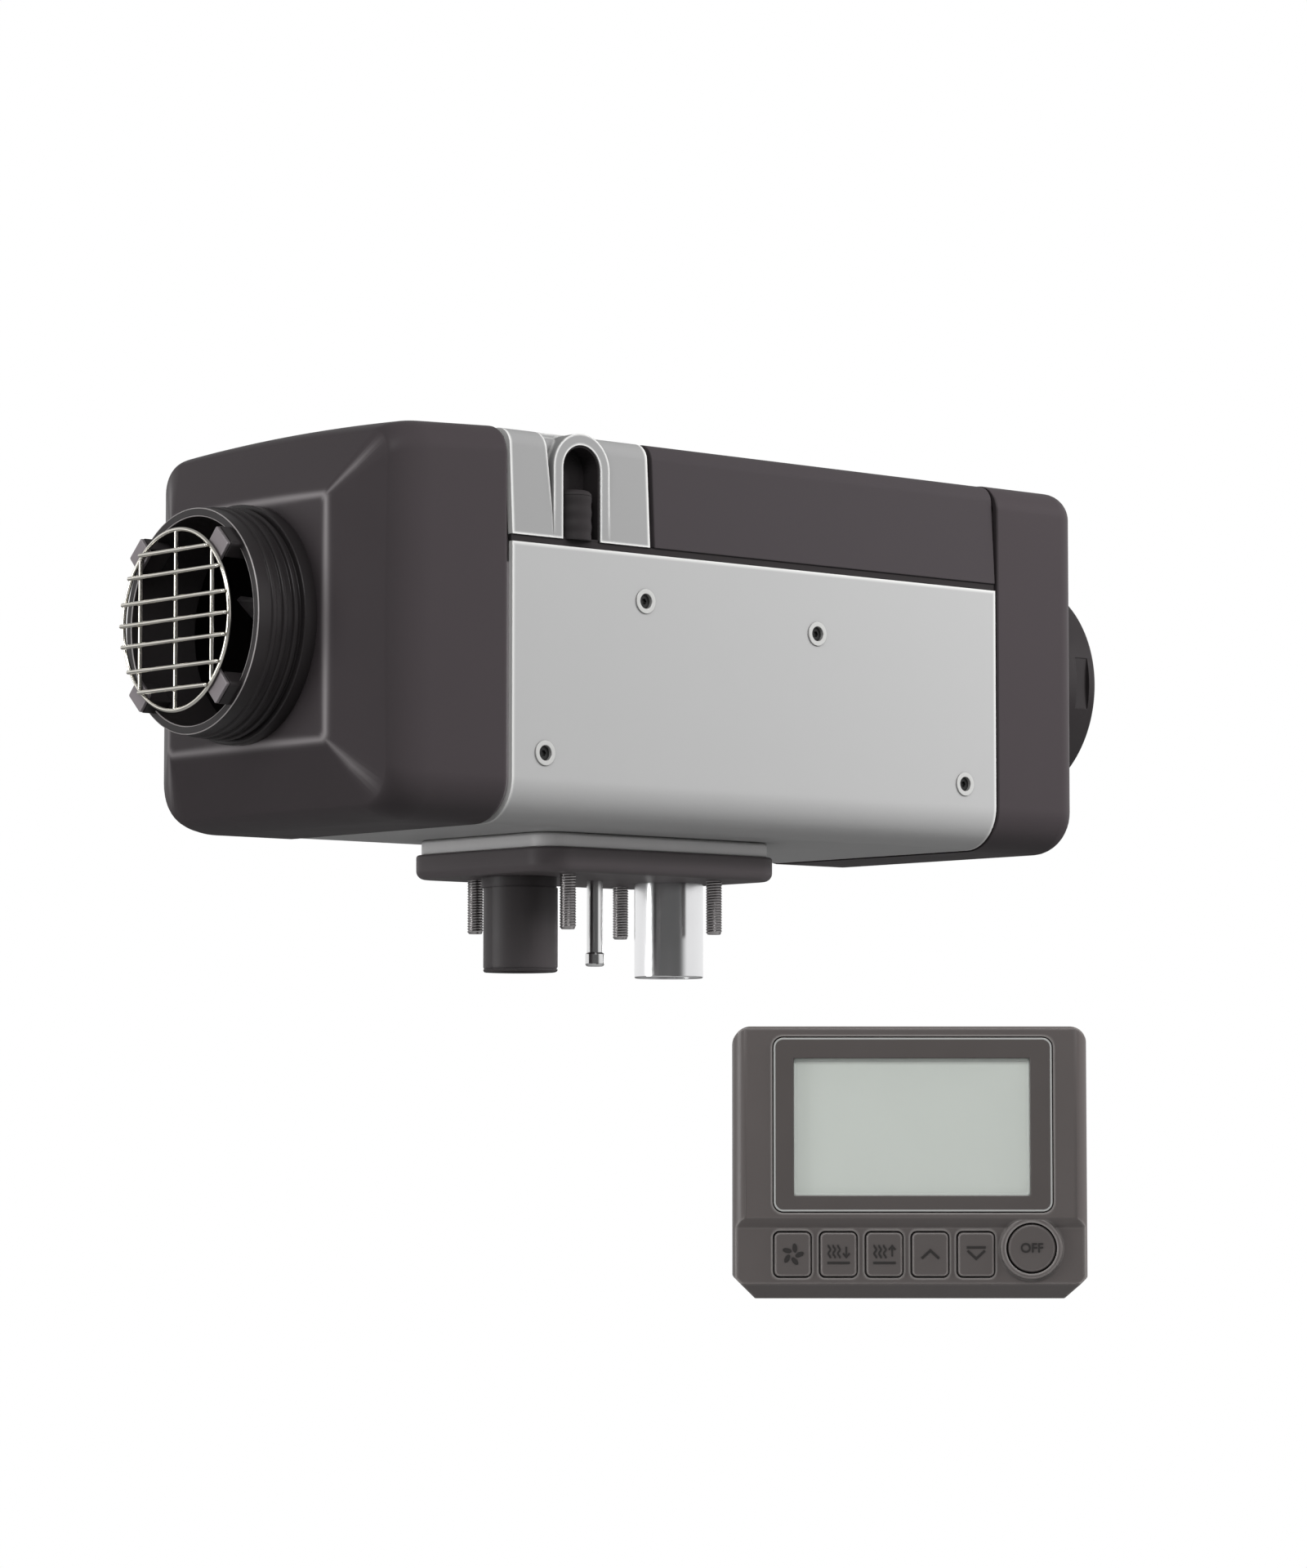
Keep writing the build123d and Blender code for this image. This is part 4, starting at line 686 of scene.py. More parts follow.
def window_material():
    """Clear window: mirror reflection by Fresnel over clear transparency."""
    made, tree = empty_material("clear window")
    clear = add(tree, "ShaderNodeBsdfTransparent", Color=(0.97, 0.98, 0.97, 1.0)).outputs[0]
    gloss = add(tree, "ShaderNodeBsdfGlossy", Roughness=0.08).outputs[0]
    fresnel = add(tree, "ShaderNodeFresnel", IOR=1.4).outputs[0]
    back = add(tree, "ShaderNodeNewGeometry").outputs["Backfacing"]
    share = math_node(tree, "MULTIPLY", fresnel, math_node(tree, "SUBTRACT", 1.0, back))
    add(tree, "ShaderNodeOutputMaterial", Surface=blended(tree, share, clear, gloss))
    return made


# ---- heater shells ----
def body_section(x, inset=0.0):
    """Ring of the body's outer shape at x, or of its inner shape inside the walls."""
    corners = (LOW_INNER, HIGH_INNER) if inset else (LOW_CORNER, HIGH_CORNER)
    return section(x, HALF - inset, HALF - inset, *corners)


def intake_hood():
    """Box with a cut-off pyramid front, ending in the neck's hole.

    Its top is crowned: z falls by 2.7 (y / half)^2 at the front, and by less towards the seam.
    The painted ridge highlight share is exp(-(d / 1.5)^2) at distance d from the pyramid's tip,
    and 0.6 sin^12 across each sloping corner, fading out where the slope ends.
    """
    slope_depth, inner_step, hole, rounding = 14.6, 3.4, 40.0, 12
    tip_y, tip_z, tip_radius, tip_inset = 46.7, 43.0, 2.5, 1.5
    crown_fall, line_width, corner_share, flat_sum = 2.7, 1.5, 0.6, 86.0
    face, seam = hood_low[0], hood_high[0]
    box_x = face + slope_depth
    tip = section(face, tip_y, tip_z, tip_radius, tip_radius)
    inner = face + SHELL_WALL
    rings = [
        body_section(seam),
        body_section(box_x),
        tip,
        circle_like(tip, face, hole),
        circle_like(tip, inner, hole),
        section(inner, tip_y - tip_inset, tip_z - tip_inset, tip_radius, tip_radius),
        body_section(box_x + inner_step, SHELL_WALL),
        body_section(seam, SHELL_WALL),
    ]
    rings = eased(rings, [2.0, (14.0, 6.0), (1.2, 6.0), 0, 0, 0, 0, 0], rounding)
    # five rings more on the slope, close to the tip, keep the painted highlight line narrow
    slope = 2 * (rounding + 1)
    shares = np.array([0.5, 0.2, 0.12, 0.07, 0.035])[:, None, None]
    between = rings[slope] + (rings[slope - 1] - rings[slope]) * shares
    rings = np.concatenate([rings[:slope], between, rings[slope:]])
    x, y, z = rings[..., 0], rings[..., 1], rings[..., 2] - AXIS_Z
    # painted highlight: a light colour along the pyramid's tip edge and its sloping corners
    edge = np.exp(-((np.linalg.norm(rings - tip, axis=-1) / line_width) ** 2))
    corner = np.zeros((4, CORNER_STEPS + SIDE_FILL + 1))
    corner[:, : CORNER_STEPS + 1] = np.sin(np.linspace(0, math.pi, CORNER_STEPS + 1)) ** 12
    sloping = np.clip((box_x - 2.0 - x) / 4.0, 0, 1) * (np.abs(y) + np.abs(z) > flat_sum)
    ridge = np.maximum(edge, corner_share * corner.ravel() * sloping)
    crown = crown_fall * (y / HALF) ** 2 * np.clip((seam - x) / (seam - box_x), 0, 1)
    rings[..., 2] -= crown * np.clip(z / HALF, 0, 1)
    skin("intake_hood", [lattice(rings, loop=True)], black_shell, "black_shell", ridge=ridge)


def intake_neck():
    """Duct neck turned about the duct axis, with three ribs, and lugs standing past its rim."""
    bore, radius, collar, spigot, back = 36.7, 40.0, 42.5, 41.2, 4.5
    rib_height, rib_place, rib_pitch = 1.3, 7.8, 4.4
    face = hood_low[0]
    rim = face - 23.2
    corners = [(rim, bore), (rim, radius)]
    radii = [0.7, 0.7]
    for index in (2, 1, 0):
        centre = face - rib_place - rib_pitch * index
        top = radius + rib_height * (1 - 0.25 * index)
        corners += [(centre - 1.1, radius), (centre - 0.8, top)]
        corners += [(centre + 0.8, top), (centre + 1.1, radius)]
        radii += [0.3, 0.5, 0.5, 0.3]
    corners += [(face - 5.2, radius), (face - 5.2, collar), (face + 0.5, collar)]
    corners += [(face + back, spigot), (face + back, bore)]
    radii += [0.3, 0.5, 0.0, 0.2, 0.2]
    parts = [tube(corners, radii, basis_x(), 144)]
    lug = [(-5.2, 32.2), (5.2, 32.2), (5.2, 38.6), (-5.2, 38.6)]
    outline = rounded_outline(lug, [0.4, 0.4, 1.5, 1.5])
    lug_end = extent("intake_neck", 0)[0]
    parts += [plate(outline, lug_end, rim + 5.0, 0.4, basis) for basis in corner_frames()]
    skin("intake_neck", parts, black_neck, "black_shell")
    # two thin light rings at the rim stand for its highlight: painted highlight arcs
    t = np.linspace(0, FULL_TURN, 10, endpoint=False)
    lines = []
    for r in (37.1, 39.6):
        profile = np.stack([rim + 0.33 + 0.3 * np.cos(t), r + 0.3 * np.sin(t)], 1)
        lines.append(turned(profile, basis_x(), 144))
    piece("neck_rim_highlight_lines", lines, neck_rim_highlight, "black_shell")


def corner_frames():
    """Frames at the grille's four corners: across, outwards from the duct axis, and along X."""
    angle = math.radians(46.5)
    frames = []
    for side in (-1, 1):
        for level in (-1, 1):
            out = np.array([0.0, side * math.cos(angle), level * math.sin(angle)])
            frames.append(((0, 0, AXIS_Z), np.cross(out, [1, 0, 0]), out, (1, 0, 0)))
    return frames


ring_start, ring_end = extent("grille_ring", 0)
RING_X, WIRE_RADIUS = (ring_start + ring_end) / 2, (ring_end - ring_start) / 2
RING_RADIUS = extent("grille_ring", 1)[1] - WIRE_RADIUS


def grille_ring():
    """Torus round the duct axis."""
    a = np.linspace(0, FULL_TURN, 20, endpoint=False)
    profile = np.stack([WIRE_RADIUS * np.cos(a), RING_RADIUS + WIRE_RADIUS * np.sin(a)], 1)
    skin("grille_ring", [turned(profile, basis_x(RING_X), 160)], wire, "grille_wire")


def grille_bars():
    """Round-ended wires that end on the ring, the level ones in front of the upright ones.

    At each crossing is a weld bead, an ellipsoid 0.9 by 1.
    """
    rows = (-24.3, -16.6, -7.5, 0.0, 7.5, 16.6, 24.3)
    columns = (-21.6, 0.0, 21.6)
    parts = []
    front = RING_X - 2 * WIRE_RADIUS
    for row in rows:
        half, z = math.sqrt(RING_RADIUS**2 - row**2) + 0.3, AXIS_Z + row
        parts.append(capsule((front, -half, z), (front, half, z), WIRE_RADIUS))
    for y in columns:
        half = math.sqrt(RING_RADIUS**2 - y**2)
        low, high = (RING_X, y, AXIS_Z - half), (RING_X, y, AXIS_Z + half)
        parts.append(capsule(low, high, WIRE_RADIUS))
    t = np.linspace(0.05, math.pi - 0.05, 9)
    bead = np.stack([-0.9 * np.cos(t), np.sin(t)], 1)
    for row in rows:
        for y in columns:
            if math.hypot(y, row) < RING_RADIUS:
                basis = basis_x(RING_X - WIRE_RADIUS, y, AXIS_Z + row)
                parts.append(turned(bead, basis, 16, loop=False))
    skin("grille_bars", parts, wire, "grille_wire")


def grille_clips():
    """Plates over rounded squares at the grille's corners."""
    start, end = extent("grille_clips", 0)
    outline = rounded_outline([(-4.8, 30.0), (4.8, 30.0), (4.8, 38.2), (-4.8, 38.2)], 0.7)
    clips = [plate(outline, start, end, 0.35, basis) for basis in corner_frames()]
    skin("grille_clips", clips, clip_metal, "grille_wire")


def outlet_hood():
    """Box whose end round has insets r (1 - cos t) at x = end - r + r sin t."""
    seam, end = extent("outlet_hood", 0)
    hole, rim, r = 44.0, 48.0, 11.0
    rings = [body_section(seam), body_section(seam + 0.5)]
    rings[0][:, 1] *= 0.994  # a hair narrower at the seam
    for t in np.linspace(0, math.pi / 2, 13):
        inset = r * (1 - math.cos(t))
        size = HALF - inset
        x = end - r + r * math.sin(t)
        rings.append(section(x, size, size, LOW_CORNER - inset, max(HIGH_CORNER - inset, 0.3)))
    face, inner = rings[-1], end - SHELL_WALL
    rings += [circle_like(face, end, rim), circle_like(face, end, hole)]
    rings += [circle_like(face, inner, hole), section(inner, HALF - 12, HALF - 12, 6.0, 3.0)]
    rings += [body_section(end - 12.0, SHELL_WALL), body_section(seam, SHELL_WALL)]
    skin("outlet_hood", [lattice(np.array(rings), loop=True)], black_shell, "black_shell")


def outlet_collar():
    """Duct collar with a shallow window on each side.

    Inside a window the radius is 43.1 / |cos a|, which makes its floor flat.
    """
    start, end = extent("outlet_collar", 0)
    bore, radius, seat, flange = 41.5, 44.5, 44.0, 46.5
    face, window_x, window_half, window_width, floor_y = end - 35.5, end - 7.45, 3.35, 10.0, 43.1
    corners = [
        (start, bore), (end, bore), (end, radius), (face, radius), (face, seat),
        (face - 2.5, seat), (face - 2.5, flange), (start, flange),
    ]
    outline = rounded_outline(corners, [0.2, 0.8, 1.4, 0.0, 0.0, 0.0, 0.2, 0.2], 6)[0]
    # more rings along the outside, close together at the window's ends
    wall = np.linspace(face + 1.0, end - 2.0, 10)
    window = window_x + np.array([-3.47, -3.23, -1.5, 1.5, 3.23, 3.47])
    extra = np.sort(np.concatenate([wall, window]))[::-1]
    from_rim = np.hypot(outline[:, 0] - end, outline[:, 1] - radius)
    at = int(np.argmin(from_rim + (outline[:, 1] < radius - 0.01)))
    added = np.stack([extra, np.full(len(extra), radius)], 1)
    profile = np.concatenate([outline[: at + 1], added, outline[at + 1 :]])
    half = math.asin(window_width / radius)
    spread = np.linspace(-half, half, 17)
    edges = np.concatenate([[-half - 0.004], spread, [half + 0.004]])
    rest = np.linspace(half + 0.06, math.pi - half - 0.06, 50)
    a = np.concatenate([edges, rest, edges + math.pi, rest + math.pi])

    def window_floor(s, angle, r):
        inside = (np.abs(s - window_x) < window_half) & (np.abs(r - radius) < 0.1)
        inside = inside & (np.abs(np.sin(angle)) < window_width / radius + 1e-4)
        return np.where(inside, floor_y / np.maximum(np.abs(np.cos(angle)), 0.5) - radius, 0.0)

    part = turned(profile, basis_x(), a, flare=window_floor)
    skin("outlet_collar", [part], black_neck, "black_shell", sharp=28)


def top_cover():
    """Bridge of constant section: the outline of its wall, pushed along X with soft ends."""
    start, end = extent("top_cover", 0)
    top, base = extent("top_cover", 2)[1], float(jacket_high[2]) + 2.6
    foot, head, wall = 70.0, 68.0, 2.5
    outer, inner, shoulder, tongue = 67.7, 65.3, base + 7, 106.5
    corners = [
        (-foot, base), (-head, top), (head, top), (foot, base),
        (outer, base), (outer, tongue), (inner, tongue), (inner, shoulder),
        (head - wall, top - wall), (wall - head, top - wall),
        (-inner, shoulder), (-inner, tongue), (-outer, tongue), (-outer, base),
    ]
    radii = [0.4, 7.0, 7.0, 0.4, 0.0, 0.3, 0.3, 0.2, 4.5, 4.5, 0.2, 0.3, 0.3, 0.0]
    part = plate(rounded_outline(corners, radii, 10), start, end, 0.45, basis_x(z=0.0))
    skin("top_cover", [part], black_cover, "black_shell")


def cable_grommet():
    """Plug with an arched outline and a thin dark lining over the arch's inner wall, which is
    painted shade, and a turned boot in front of it.

    The boot's radius is 6.8 + 0.12 cos(2 pi z / 5), with a rounded top.
    """
    low, high = span("cable_grommet")
    centre = float(low[0] + high[0]) / 2
    r = float(high[0] - low[0]) / 2
    base, middle = float(low[2]), float(high[2]) - r
    plug_back, plug_front, shade_lining_front, shade_lining_wall = -float(high[1]), 61.0, 69.4, 0.8
    arc = [
        (centre - r * math.cos(t), middle + r * math.sin(t)) for t in np.linspace(0, math.pi, 25)
    ]
    outline = rounded_outline([(centre + r, base), (centre - r, base)] + arc, 0.0, 1)
    basis = ((0, 0, 0), (1, 0, 0), (0, 0, 1), (0, -1, 0))
    parts = [plate(outline, plug_back, plug_front, 0.5, basis)]
    points, normals = outline
    # dark lining over the arch's inner wall: painted shade inside the arch
    inner = (points - normals * shade_lining_wall, normals)
    parts.append(ring_plate(outline, inner, plug_front - 0.1, shade_lining_front, 0.15, basis))
    height, radius, rib, pitch, cap = 18.0, 6.8, 0.12, 5.0, 2.0
    heights = np.linspace(0.0, height - cap, 20)
    ripple = rib * np.cos(heights / pitch * FULL_TURN) * (heights > 1)
    body = np.stack([heights, radius + ripple], 1)
    t = np.linspace(0, math.pi / 2 - 0.02, 7)
    round_top = np.stack([height - cap + cap * np.sin(t), 4.6 + 2.35 * np.cos(t)], 1)
    place = basis_z(centre - r + 7.6, float(low[1]) + 7.0, base)
    parts.append(turned(np.concatenate([body, round_top]), place, 48, loop=False))
    skin("cable_grommet", parts, black_rubber, "black_rubber")


SCREWS = [
    (float(hood_high[0]) + along, float(jacket_low[2]) + up)
    for along, up in ((17.1, 24.8), (63.8, 82.0), (147.6, 76.0), (223.7, 23.9))
]


def eyelets():
    """Turned rings with a rolled flange, one at each side screw."""
    back, panel, face, bore, barrel, flange = 68.0, 70.0, 70.5, 2.7, 3.3, 4.5
    outline = [
        (back, bore), (face, bore), (face, flange), (panel + 0.02, flange), (panel, barrel),
        (back, barrel),
    ]
    parts = []
    for x, z in SCREWS:
        for side in (-1, 1):
            basis = ((x, 0, z), (1, 0, 0), (0, 0, 1), (0, side, 0))
            parts.append(tube(outline, [0.0, 0.24, 0.22, 0.0, 0.0, 0.0], basis, 48, 4))
    skin("eyelets", parts, eyelet_metal, "eyelet_metal")


# ---- foot and pipes ----
def foot():
    """Foot casting and seal as plates over rounded rectangles."""
    top, step, head = extent("flange_seal", 2)[1], 14.5, 26.5
    lower, upper = rectangle(112.0, 80.0, 10.0, steps=12), rectangle(106.0, 74.0, 9.5, steps=12)
    plates = [
        plate(lower, top, step, 0.5, basis_z(), top_edge=1.4),
        plate(upper, step, head, 0.5, basis_z()),
    ]
    skin("foot_casting", plates, cast, "cast_aluminium")
    outline = rectangle(116.0, 84.0, 12.0, steps=14)
    seal = plate(outline, 0.0, top, 3.2, basis_z(), top_edge=1.0, steps=8)
    skin("flange_seal", [seal], seal_rubber, "black_rubber")


def studs():
    """M6 studs whose radius is 3 - 0.32 clip(1.25 |2 u - 1| - 0.125, 0, 1) below the foot.

    u is the fraction of z - a / 2 pi, which gives a pitch of 1, and the end stays flat.
    """
    tip, top = extent("mounting_studs", 2)

    def thread(s, angle, r):
        u = np.mod(s - angle / FULL_TURN, 1.0)
        groove = 0.32 * np.clip(1.25 * np.abs(2 * u - 1) - 0.125, 0, 1)
        return np.where((s < 0.2) & (r > 2.4), -groove, 0.0)

    s = np.concatenate([[tip, tip], np.arange(tip + 0.75, 0.0, 0.1), [0.1, top]])
    r = np.concatenate([[0.05, 2.35], np.full(len(s) - 4, 3.0), [2.8, 2.8]])
    profile = np.stack([s, r], 1)
    parts = []
    for x in (-35.5, 35.5):
        for y in (-27.0, 27.0):
            parts.append(turned(profile, basis_z(x, y), 36, loop=False, flare=thread))
    skin("mounting_studs", parts, stud_steel, "stud_steel", sharp=50, weighted=False)


PIPE_X = 36.5  # the two stubs stand at minus and plus this, the fuel pipe between them


def combustion_air_stub():
    """Stub whose radius drops by 1.2 in a groove between 120 and 186 degrees.

    The groove's edges are smooth steps 1.2 u^2 (3 - 2 u), u running over 0.06 radians.
    """
    bottom, top = extent("combustion_air_stub", 2)
    radius, bore, hub, collar, collar_face = 14.3, 11.0, 13.0, 13.9, -4.0
    t = np.linspace(0, math.pi / 2, 5)
    lip = np.stack([bottom + 1.0 - np.cos(t), radius - 1 + np.sin(t)], 1)[::-1]
    wall = [(bottom + 2.0, radius), (-12.0, radius), (collar_face, radius)]
    inner = [
        (collar_face, collar), (0.0, collar), (0.0, hub), (top, hub), (top, bore),
        (bottom + 0.6, bore), (bottom, bore + 0.6),
    ]
    profile = np.concatenate([lip, wall, inner])
    first, last = math.radians(120.0), math.radians(186.0)
    edges = np.radians(np.linspace(-1.0, 7.0, 15))
    evenly = np.linspace(0, FULL_TURN, 120, endpoint=False)
    a = np.unique(np.concatenate([evenly, first - edges, last + edges - 0.09]))

    def groove(s, angle, r):
        enter = np.clip((angle - first) / 0.06 + 0.5, 0, 1)
        leave = np.clip((last - angle) / 0.06 + 0.5, 0, 1)
        walls = (s < collar_face + 0.1) * (r > 13.05) * (np.abs(r - collar) > 0.01)
        share = enter * leave * walls
        return -1.2 * share**2 * (3 - 2 * share)

    part = turned(profile, basis_z(-PIPE_X), a, flare=groove)
    skin("combustion_air_stub", [part], stub_plastic, "stub_plastic", sharp=40)


def exhaust_stub():
    """Plain polished tube with a rounded end."""
    bottom, top = extent("exhaust_stub", 2)
    bore, radius, hub = 11.8, 13.0, 12.6
    corners = [
        (bottom, bore), (bottom, radius), (0.0, radius), (0.0, hub), (top, hub), (top, bore)
    ]
    part = tube(corners, [0.5, 0.6, 0.0, 0.0, 0.0, 0.0], basis_z(PIPE_X), 128)
    skin("exhaust_stub", [part], polished, "polished_steel")


def fuel_pipe():
    """Thin tube with a rounded bead at its end."""
    bottom, top = extent("fuel_pipe", 2)
    bore, bead, radius, hub, bead_end = 1.2, 3.6, 3.0, 2.6, bottom + 5.0
    corners = [
        (bottom, bore), (bottom, bead), (bead_end, bead), (bead_end, radius),
        (0.0, radius), (0.0, hub), (top, hub), (top, bore),
    ]
    part = tube(corners, [0.3, 1.1, 0.55, 0.3, 0.0, 0.0, 0.0, 0.0], basis_z(), 64)
    skin("fuel_pipe", [part], pipe_steel, "pipe_steel")


# ---- control panel ----
BEZEL_CENTRE, WINDOW_CENTRE = (0.8, 12.8), (0.5, 12.0)
BEZEL_BACK = -1.65
WINDOW = rectangle(79.9, 46.3, 0.4, WINDOW_CENTRE)


def display_bezel():
    """Frame round the window, with a light line near its outer edge that is a painted highlight.
    """
    outer = rectangle(94.3, 58.8, 3.25, BEZEL_CENTRE)
    inner = rectangle(80.0, 46.4, 0.5, WINDOW_CENTRE)
    part = ring_plate(outer, inner, BEZEL_BACK, 0.35, 0.28, PANEL)
    skin("display_bezel", [part], panel_bezel, "panel_bezel")
    # thin light ring near the bezel's outer edge: painted highlight
    outer = rectangle(94.1, 58.6, 3.2, BEZEL_CENTRE)
    inner = rectangle(92.9, 57.4, 2.6, BEZEL_CENTRE)
    line = ring_plate(outer, inner, 0.1, 0.38, 0.08, PANEL)
    piece("bezel_highlight_line", [line], bezel_highlight, "panel_bezel")


def display():
    """Window, and the display module behind it with a pale line along the window's edge, a painted
    highlight.
    """
    part = plate(WINDOW, BEZEL_BACK, -0.15, 0.05, PANEL)
    skin("display_lens", [part], window_material(), "panel_lens")
    part = plate(rectangle(86.0, 52.4, 0.8, WINDOW_CENTRE), -4.05, -1.66, 0.1, PANEL)
    skin("lcd_panel", [part], lcd_face, "lcd")
    # pale ring on the display along the window's edge: painted highlight
    inner = rectangle(78.0, 44.4, 0.4, WINDOW_CENTRE)
    line = ring_plate(WINDOW, inner, -1.72, -1.652, 0.02, PANEL)
    piece("lcd_highlight_line", [line], lcd_highlight, "lcd")


def indicator():
    """Small turned dome in the bezel's corner."""
    radius = 1.45
    t = np.linspace(0.05, math.pi / 2, 6)
    dome = np.stack([0.05 - 0.5 * (1 - np.sin(t[::-1])), radius * np.sin(t)], 1)
    origin = placed(np.array([44.6, 22.0, 0.0]), PANEL)
    profile = np.concatenate([[[BEZEL_BACK, radius]], dome[::-1]])
    part = turned(profile, (origin, *PANEL[1:]), 32, loop=False)
    skin("panel_led", [part], led_lens, "led")


def stroke(path, width):
    """Outline of a line of that width: the path moved by plus and minus half of it.

    A path of three points gets a mitred corner.
    """
    path = np.array(path, float)
    way = np.gradient(path, axis=0)
    way /= np.linalg.norm(way, axis=1)[:, None]
    left = np.stack([-way[:, 1], way[:, 0]], 1)
    if len(path) == 3:
        left[1] /= abs(np.dot(left[1], left[0] / np.linalg.norm(left[0])))
    points = np.concatenate([path - left * width / 2, (path + left * width / 2)[::-1]])
    normals = np.concatenate([-left, left[::-1]])
    return points, normals / np.linalg.norm(normals, axis=1)[:, None]


def unit_normals(points):
    """Outward normals of a closed outline that runs anticlockwise."""
    way = np.roll(points, -1, 0) - np.roll(points, 1, 0)
    normals = np.stack([way[:, 1], -way[:, 0]], 1)
    return normals / np.linalg.norm(normals, axis=1)[:, None]


def fan_mark():
    """Five slanted ellipses round the centre."""
    a = np.linspace(0, FULL_TURN, 20, endpoint=False)
    along, length, width = 2.3, 1.45, 0.85
    u = along + length * np.cos(a)
    v = width * np.sin(a) + 0.3 * (u - along)
    blades = []
    for turn in np.arange(5) * FULL_TURN / 5:
        c, s = math.cos(turn), math.sin(turn)
        points = np.stack([u * c - v * s, u * s + v * c], 1)
        blades.append((points, unit_normals(points)))
    return blades


def heat_mark(way):
    """Three waves x = 0.35 sin(2.4 z) over a ground line, and an arrow up (1) or down (-1)."""
    z = np.linspace(-2.2, 2.2, 17)
    marks = []
    for x in (-3.1, -1.5, 0.1):
        marks.append(stroke(np.stack([x + 0.35 * np.sin(z * 2.4), z + 1.0], 1), 0.62))
    middle, tip = 1.0, 1.9
    marks.append(stroke([(2.6, middle - 1.6 * way), (2.6, middle + 1.4 * way)], 0.6))
    barb = middle + 0.6 * way
    marks.append(stroke([(1.5, barb), (2.6, middle + tip * way), (3.7, barb)], 0.6))
    marks.append(stroke([(-3.8, -2.8), (3.8, -2.8)], 0.8))
    return marks


def chevron(way):
    """Arrow head up (1) or down (-1)."""
    return stroke([(-2.9, -1.3 * way), (0.0, 1.4 * way), (2.9, -1.3 * way)], 0.8)


MARKS = {
    "fan_key": fan_mark(),
    "heat_down_key": heat_mark(-1),
    "heat_up_key": heat_mark(1),
    "up_key": [chevron(1)],
    "down_key": [chevron(-1), stroke([(-3.2, 2.4), (3.2, 2.4)], 0.8)],
}
KEY_BACK, KEY_SHOULDER = -5.4, -4.5


def key_basis(node):
    """Panel's directions, from a key's centre brought to the plane of the panel's face."""
    low, high = span(node)
    middle = (low + high) / 2
    return (middle - OUT * np.dot(middle - PANEL[0], OUT), *PANEL[1:])


def square_keys():
    """Square keys with a soft lip, each with its raised mark."""
    for node, mark in MARKS.items():
        basis, body = key_basis(node), node + "_body"
        parts = [
            plate(rectangle(12.2, 14.8, 1.7), KEY_BACK, -1.3, 0.2, basis, top_edge=0.5),
            plate(rectangle(14.4, 17.0, 1.9), KEY_BACK, KEY_SHOULDER, 0.1, basis),
        ]
        skin(node, parts, key_plastic, "key_rubber", body=body)
        marks = [plate(shape, -1.4, -1.12, 0.04, basis, steps=2) for shape in mark]
        piece(node + "_mark", marks, mark_plastic, "key_rubber", body=body)


def off_key():
    """Round key: a turned profile with a rim rounded by 0.7 and a shallow dish, and its word."""
    basis = key_basis("off_key")
    lip, radius, bend = 9.2, 7.4, 0.7
    t = np.linspace(0, math.pi / 2, 7)
    top = np.stack([-bend - bend * (1 - np.sin(t)), radius + bend * np.cos(t)], 1)
    side = [(KEY_BACK, lip), (KEY_SHOULDER, lip), (KEY_SHOULDER, radius + bend)]
    dish = [(-0.74, 6.2), (-0.85, 4.0), (-0.9, 0.1)]
    part = turned(np.concatenate([side, top, dish]), basis, 96, loop=False)
    skin("off_key", [part], key_plastic, "key_rubber", body="off_key_body")
    lettering(basis)


def lettering(basis):
    """Raised word on the round key."""
    curve = bpy.data.curves.new("off_text", "FONT")
    curve.body = "OFF"
    curve.size = 4.4
    curve.align_x = "CENTER"
    curve.align_y = "CENTER"
    curve.extrude = 0.12
    curve.offset = 0.06
    text = shown("off_text", curve)
    bpy.context.view_layer.update()
    mesh = bpy.data.meshes.new_from_object(text)
    bpy.data.objects.remove(text)
    flat = np.zeros(len(mesh.vertices) * 3)
    mesh.vertices.foreach_get("co", flat)
    flat = flat.reshape(-1, 3) + [0.0, 0.0, -0.78]
    mesh.vertices.foreach_set("co", (placed(flat, basis) * MM).ravel())
    finished("off_lettering", mesh, mark_plastic, "key_rubber", body="off_key_body", sharp=30)


# ---- build ----
intake_hood()
intake_neck()
grille_ring()
grille_bars()
grille_clips()
outlet_hood()
outlet_collar()
top_cover()
cable_grommet()
eyelets()
foot()
studs()
combustion_air_stub()
exhaust_stub()
fuel_pipe()
display_bezel()
display()
indicator()
square_keys()
off_key()
copied("lower_jacket", grey_jacket, "grey_jacket")
copied("upper_saddle", grey_saddle, "grey_saddle")
copied("panel_front_case", panel_case, "panel_case")
copied("panel_back_case", panel_case, "panel_case")

# the edge seals are black rubber strips in the gap under the upper shells, a real seal that also
# paints that gap's shade
paint(black_rubber, "edge_seals", "arch_blank")
paint(frame_plastic, "intake_frame", "outlet_frame")
paint(screw_steel, "side_screws", "panel_screws")
paint(liner_sheet, "side_liners")
paint(motor_steel, "motor_can", "key_switches")
paint(magnet, "motor_magnets")
paint(armature, "motor_armature")
paint(bearing_steel, "motor_shaft", "front_bearing", "rear_bearing")
paint(fan_plastic, "heating_fan", "combustion_fan")
paint(cast, "blower_housing", "burner_head", "heat_exchanger")
paint(gasket_paper, "housing_gasket")
paint(ceramic_plug, "glow_plug", "overheat_sensor")
paint(chamber_steel, "combustion_chamber", "burner_gauze")
paint(unit_case, "control_unit_case", "cable_socket")
paint(circuit_board, "control_unit_board", "panel_board")


# ---- stage ----
def set_floor():
    """Wide square plane under the object, in metres."""
    z = -0.45
    corners = [(-FAR, -FAR, z), (FAR, -FAR, z), (FAR, FAR, z), (-FAR, FAR, z)]
    mesh = bpy.data.meshes.new("floor")
    mesh.from_pydata(corners, [], [(0, 1, 2, 3)])
    mesh.materials.append(floor_material())
    shown("floor", mesh)


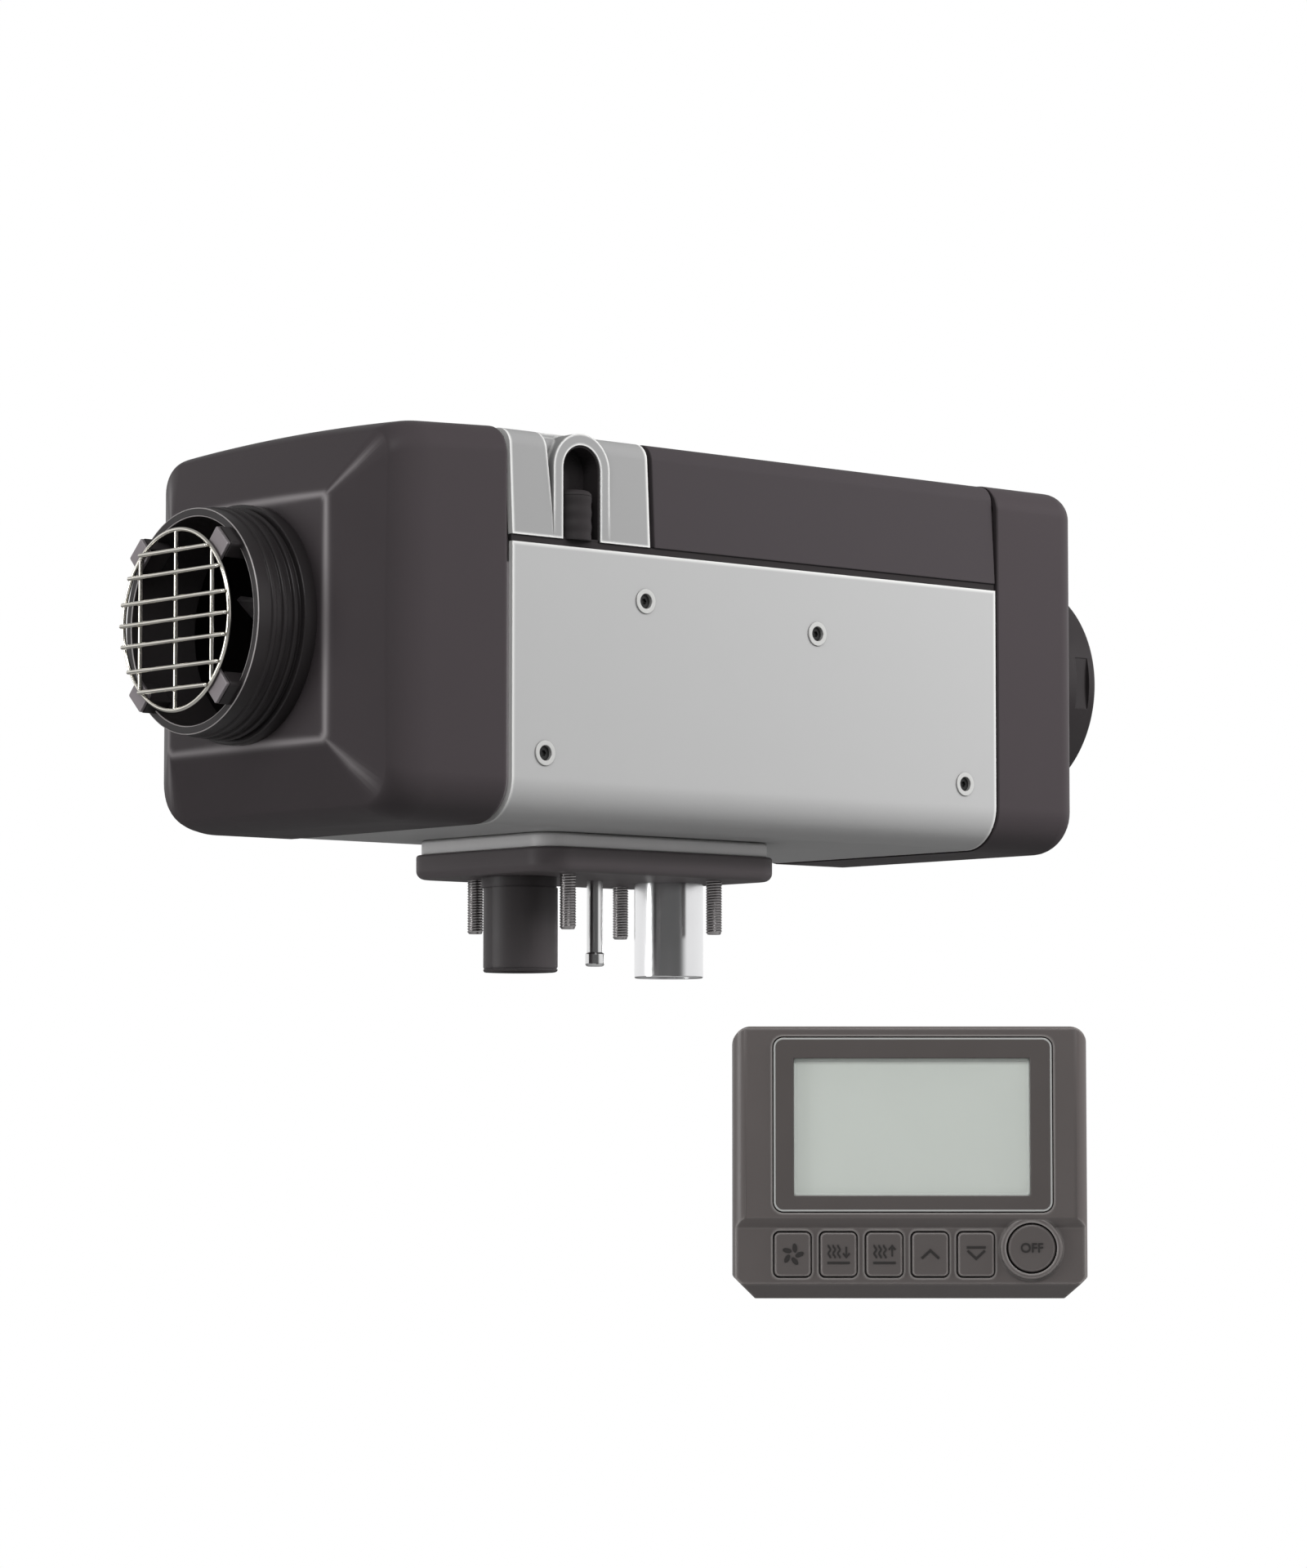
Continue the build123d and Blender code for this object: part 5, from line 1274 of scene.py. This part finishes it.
def floor_material():
    """Pale near the object, where it takes the shadow, white further off, and clear from below."""
    made, tree = empty_material("floor")
    ray = add(tree, "ShaderNodeLightPath").outputs["Is Camera Ray"]
    place = add(tree, "ShaderNodeTexCoord").outputs["Object"]
    away = add(tree, "ShaderNodeVectorMath", operation="LENGTH", i0=place).outputs["Value"]
    tone = math_node(tree, "MULTIPLY_ADD", ray, 0.40, 0.35)
    pale = add(tree, "ShaderNodeBsdfDiffuse", Color=tone).outputs[0]
    white = add(tree, "ShaderNodeEmission", Strength=1.0).outputs[0]
    share = math_node(tree, "MULTIPLY", ray, ramp(tree, away, 0.7, 1.6))
    seen = blended(tree, share, pale, white)
    behind = add(tree, "ShaderNodeNewGeometry").outputs["Backfacing"]
    clear = add(tree, "ShaderNodeBsdfTransparent").outputs[0]
    add(tree, "ShaderNodeOutputMaterial", Surface=blended(tree, behind, seen, clear))
    return made


def set_world():
    """White surroundings, dimmer as a light than as a backdrop.

    Reflections show a dark wall on the side of the intake's near corner, and a dark ceiling.
    """
    world = bpy.data.worlds.new("studio")
    scene.world = world
    world.use_nodes = True
    tree = world.node_tree
    tree.nodes.clear()
    path = add(tree, "ShaderNodeLightPath")
    way = add(tree, "ShaderNodeTexCoord").outputs["Generated"]
    wall = (-0.65, -0.757, -0.05)
    facing = add(tree, "ShaderNodeVectorMath", operation="DOT_PRODUCT", i0=way, i1=wall)
    dark = ramp(tree, facing.outputs["Value"], 0.42, 0.82)
    height = add(tree, "ShaderNodeSeparateXYZ", i0=way).outputs["Z"]
    ceiling = ramp(tree, height, 0.10, 0.75, 1.0, 0.30)
    mirrored = math_node(tree, "MULTIPLY_ADD", dark, -0.80, 0.90)
    spread = math_node(tree, "SUBTRACT", 1.0, path.outputs["Is Glossy Ray"])
    level = math_node(tree, "MULTIPLY", mirrored, path.outputs["Is Glossy Ray"])
    level = math_node(tree, "MULTIPLY_ADD", spread, 0.60, level)
    level = math_node(tree, "MULTIPLY", level, ceiling)
    level = math_node(tree, "MAXIMUM", level, path.outputs["Is Camera Ray"])
    white = add(tree, "ShaderNodeBackground", Color=(1.0, 1.0, 1.0, 1.0), Strength=level)
    add(tree, "ShaderNodeOutputWorld", Surface=white.outputs[0])


def soft_light(name, place, target, width, height, power, mirrored=True):
    """Rectangular lamp in metres and watts; unmirrored, it lights but isn't reflected."""
    light = bpy.data.lights.new(name, "AREA")
    light.shape = "RECTANGLE"
    light.size = width
    light.size_y = height
    light.energy = power
    obj = shown(name, light)
    obj.location = place
    obj.rotation_euler = (Vector(target) - Vector(place)).to_track_quat("-Z", "Y").to_euler()
    obj.visible_glossy = mirrored


def set_camera():
    """Camera fitted to the photograph's outline: yaw 40.7, pitch 4.3 degrees up, 112 mm lens."""
    camera = bpy.data.cameras.new("camera")
    camera.sensor_fit = "VERTICAL"
    camera.sensor_height = 36.0
    camera.sensor_width = 36.0
    camera.lens = 112.02
    camera.clip_start = 0.05
    camera.clip_end = 60.0
    obj = shown("camera", camera)
    obj.location = Vector((-1.1718, -1.3943, -0.1003))
    pitch = math.radians(4.29)
    forward = Vector((0.6525 * math.cos(pitch), 0.7577 * math.cos(pitch), math.sin(pitch)))
    obj.rotation_euler = forward.to_track_quat("-Z", "Y").to_euler()
    scene.camera = obj


set_floor()
set_world()
soft_light("key", (0.75, -0.80, 0.58), (0.1, 0.0, 0.08), 0.5, 0.4, 17.0, mirrored=False)
soft_light("front", (-1.1, -1.5, 1.4), (0.0, -0.1, 0.0), 1.4, 0.8, 26.0)
soft_light("fill", (-2.1, 0.75, 0.2), (-0.1, 0.0, 0.1), 0.5, 1.2, 19.0)
set_camera()
scene.view_settings.view_transform = "Standard"
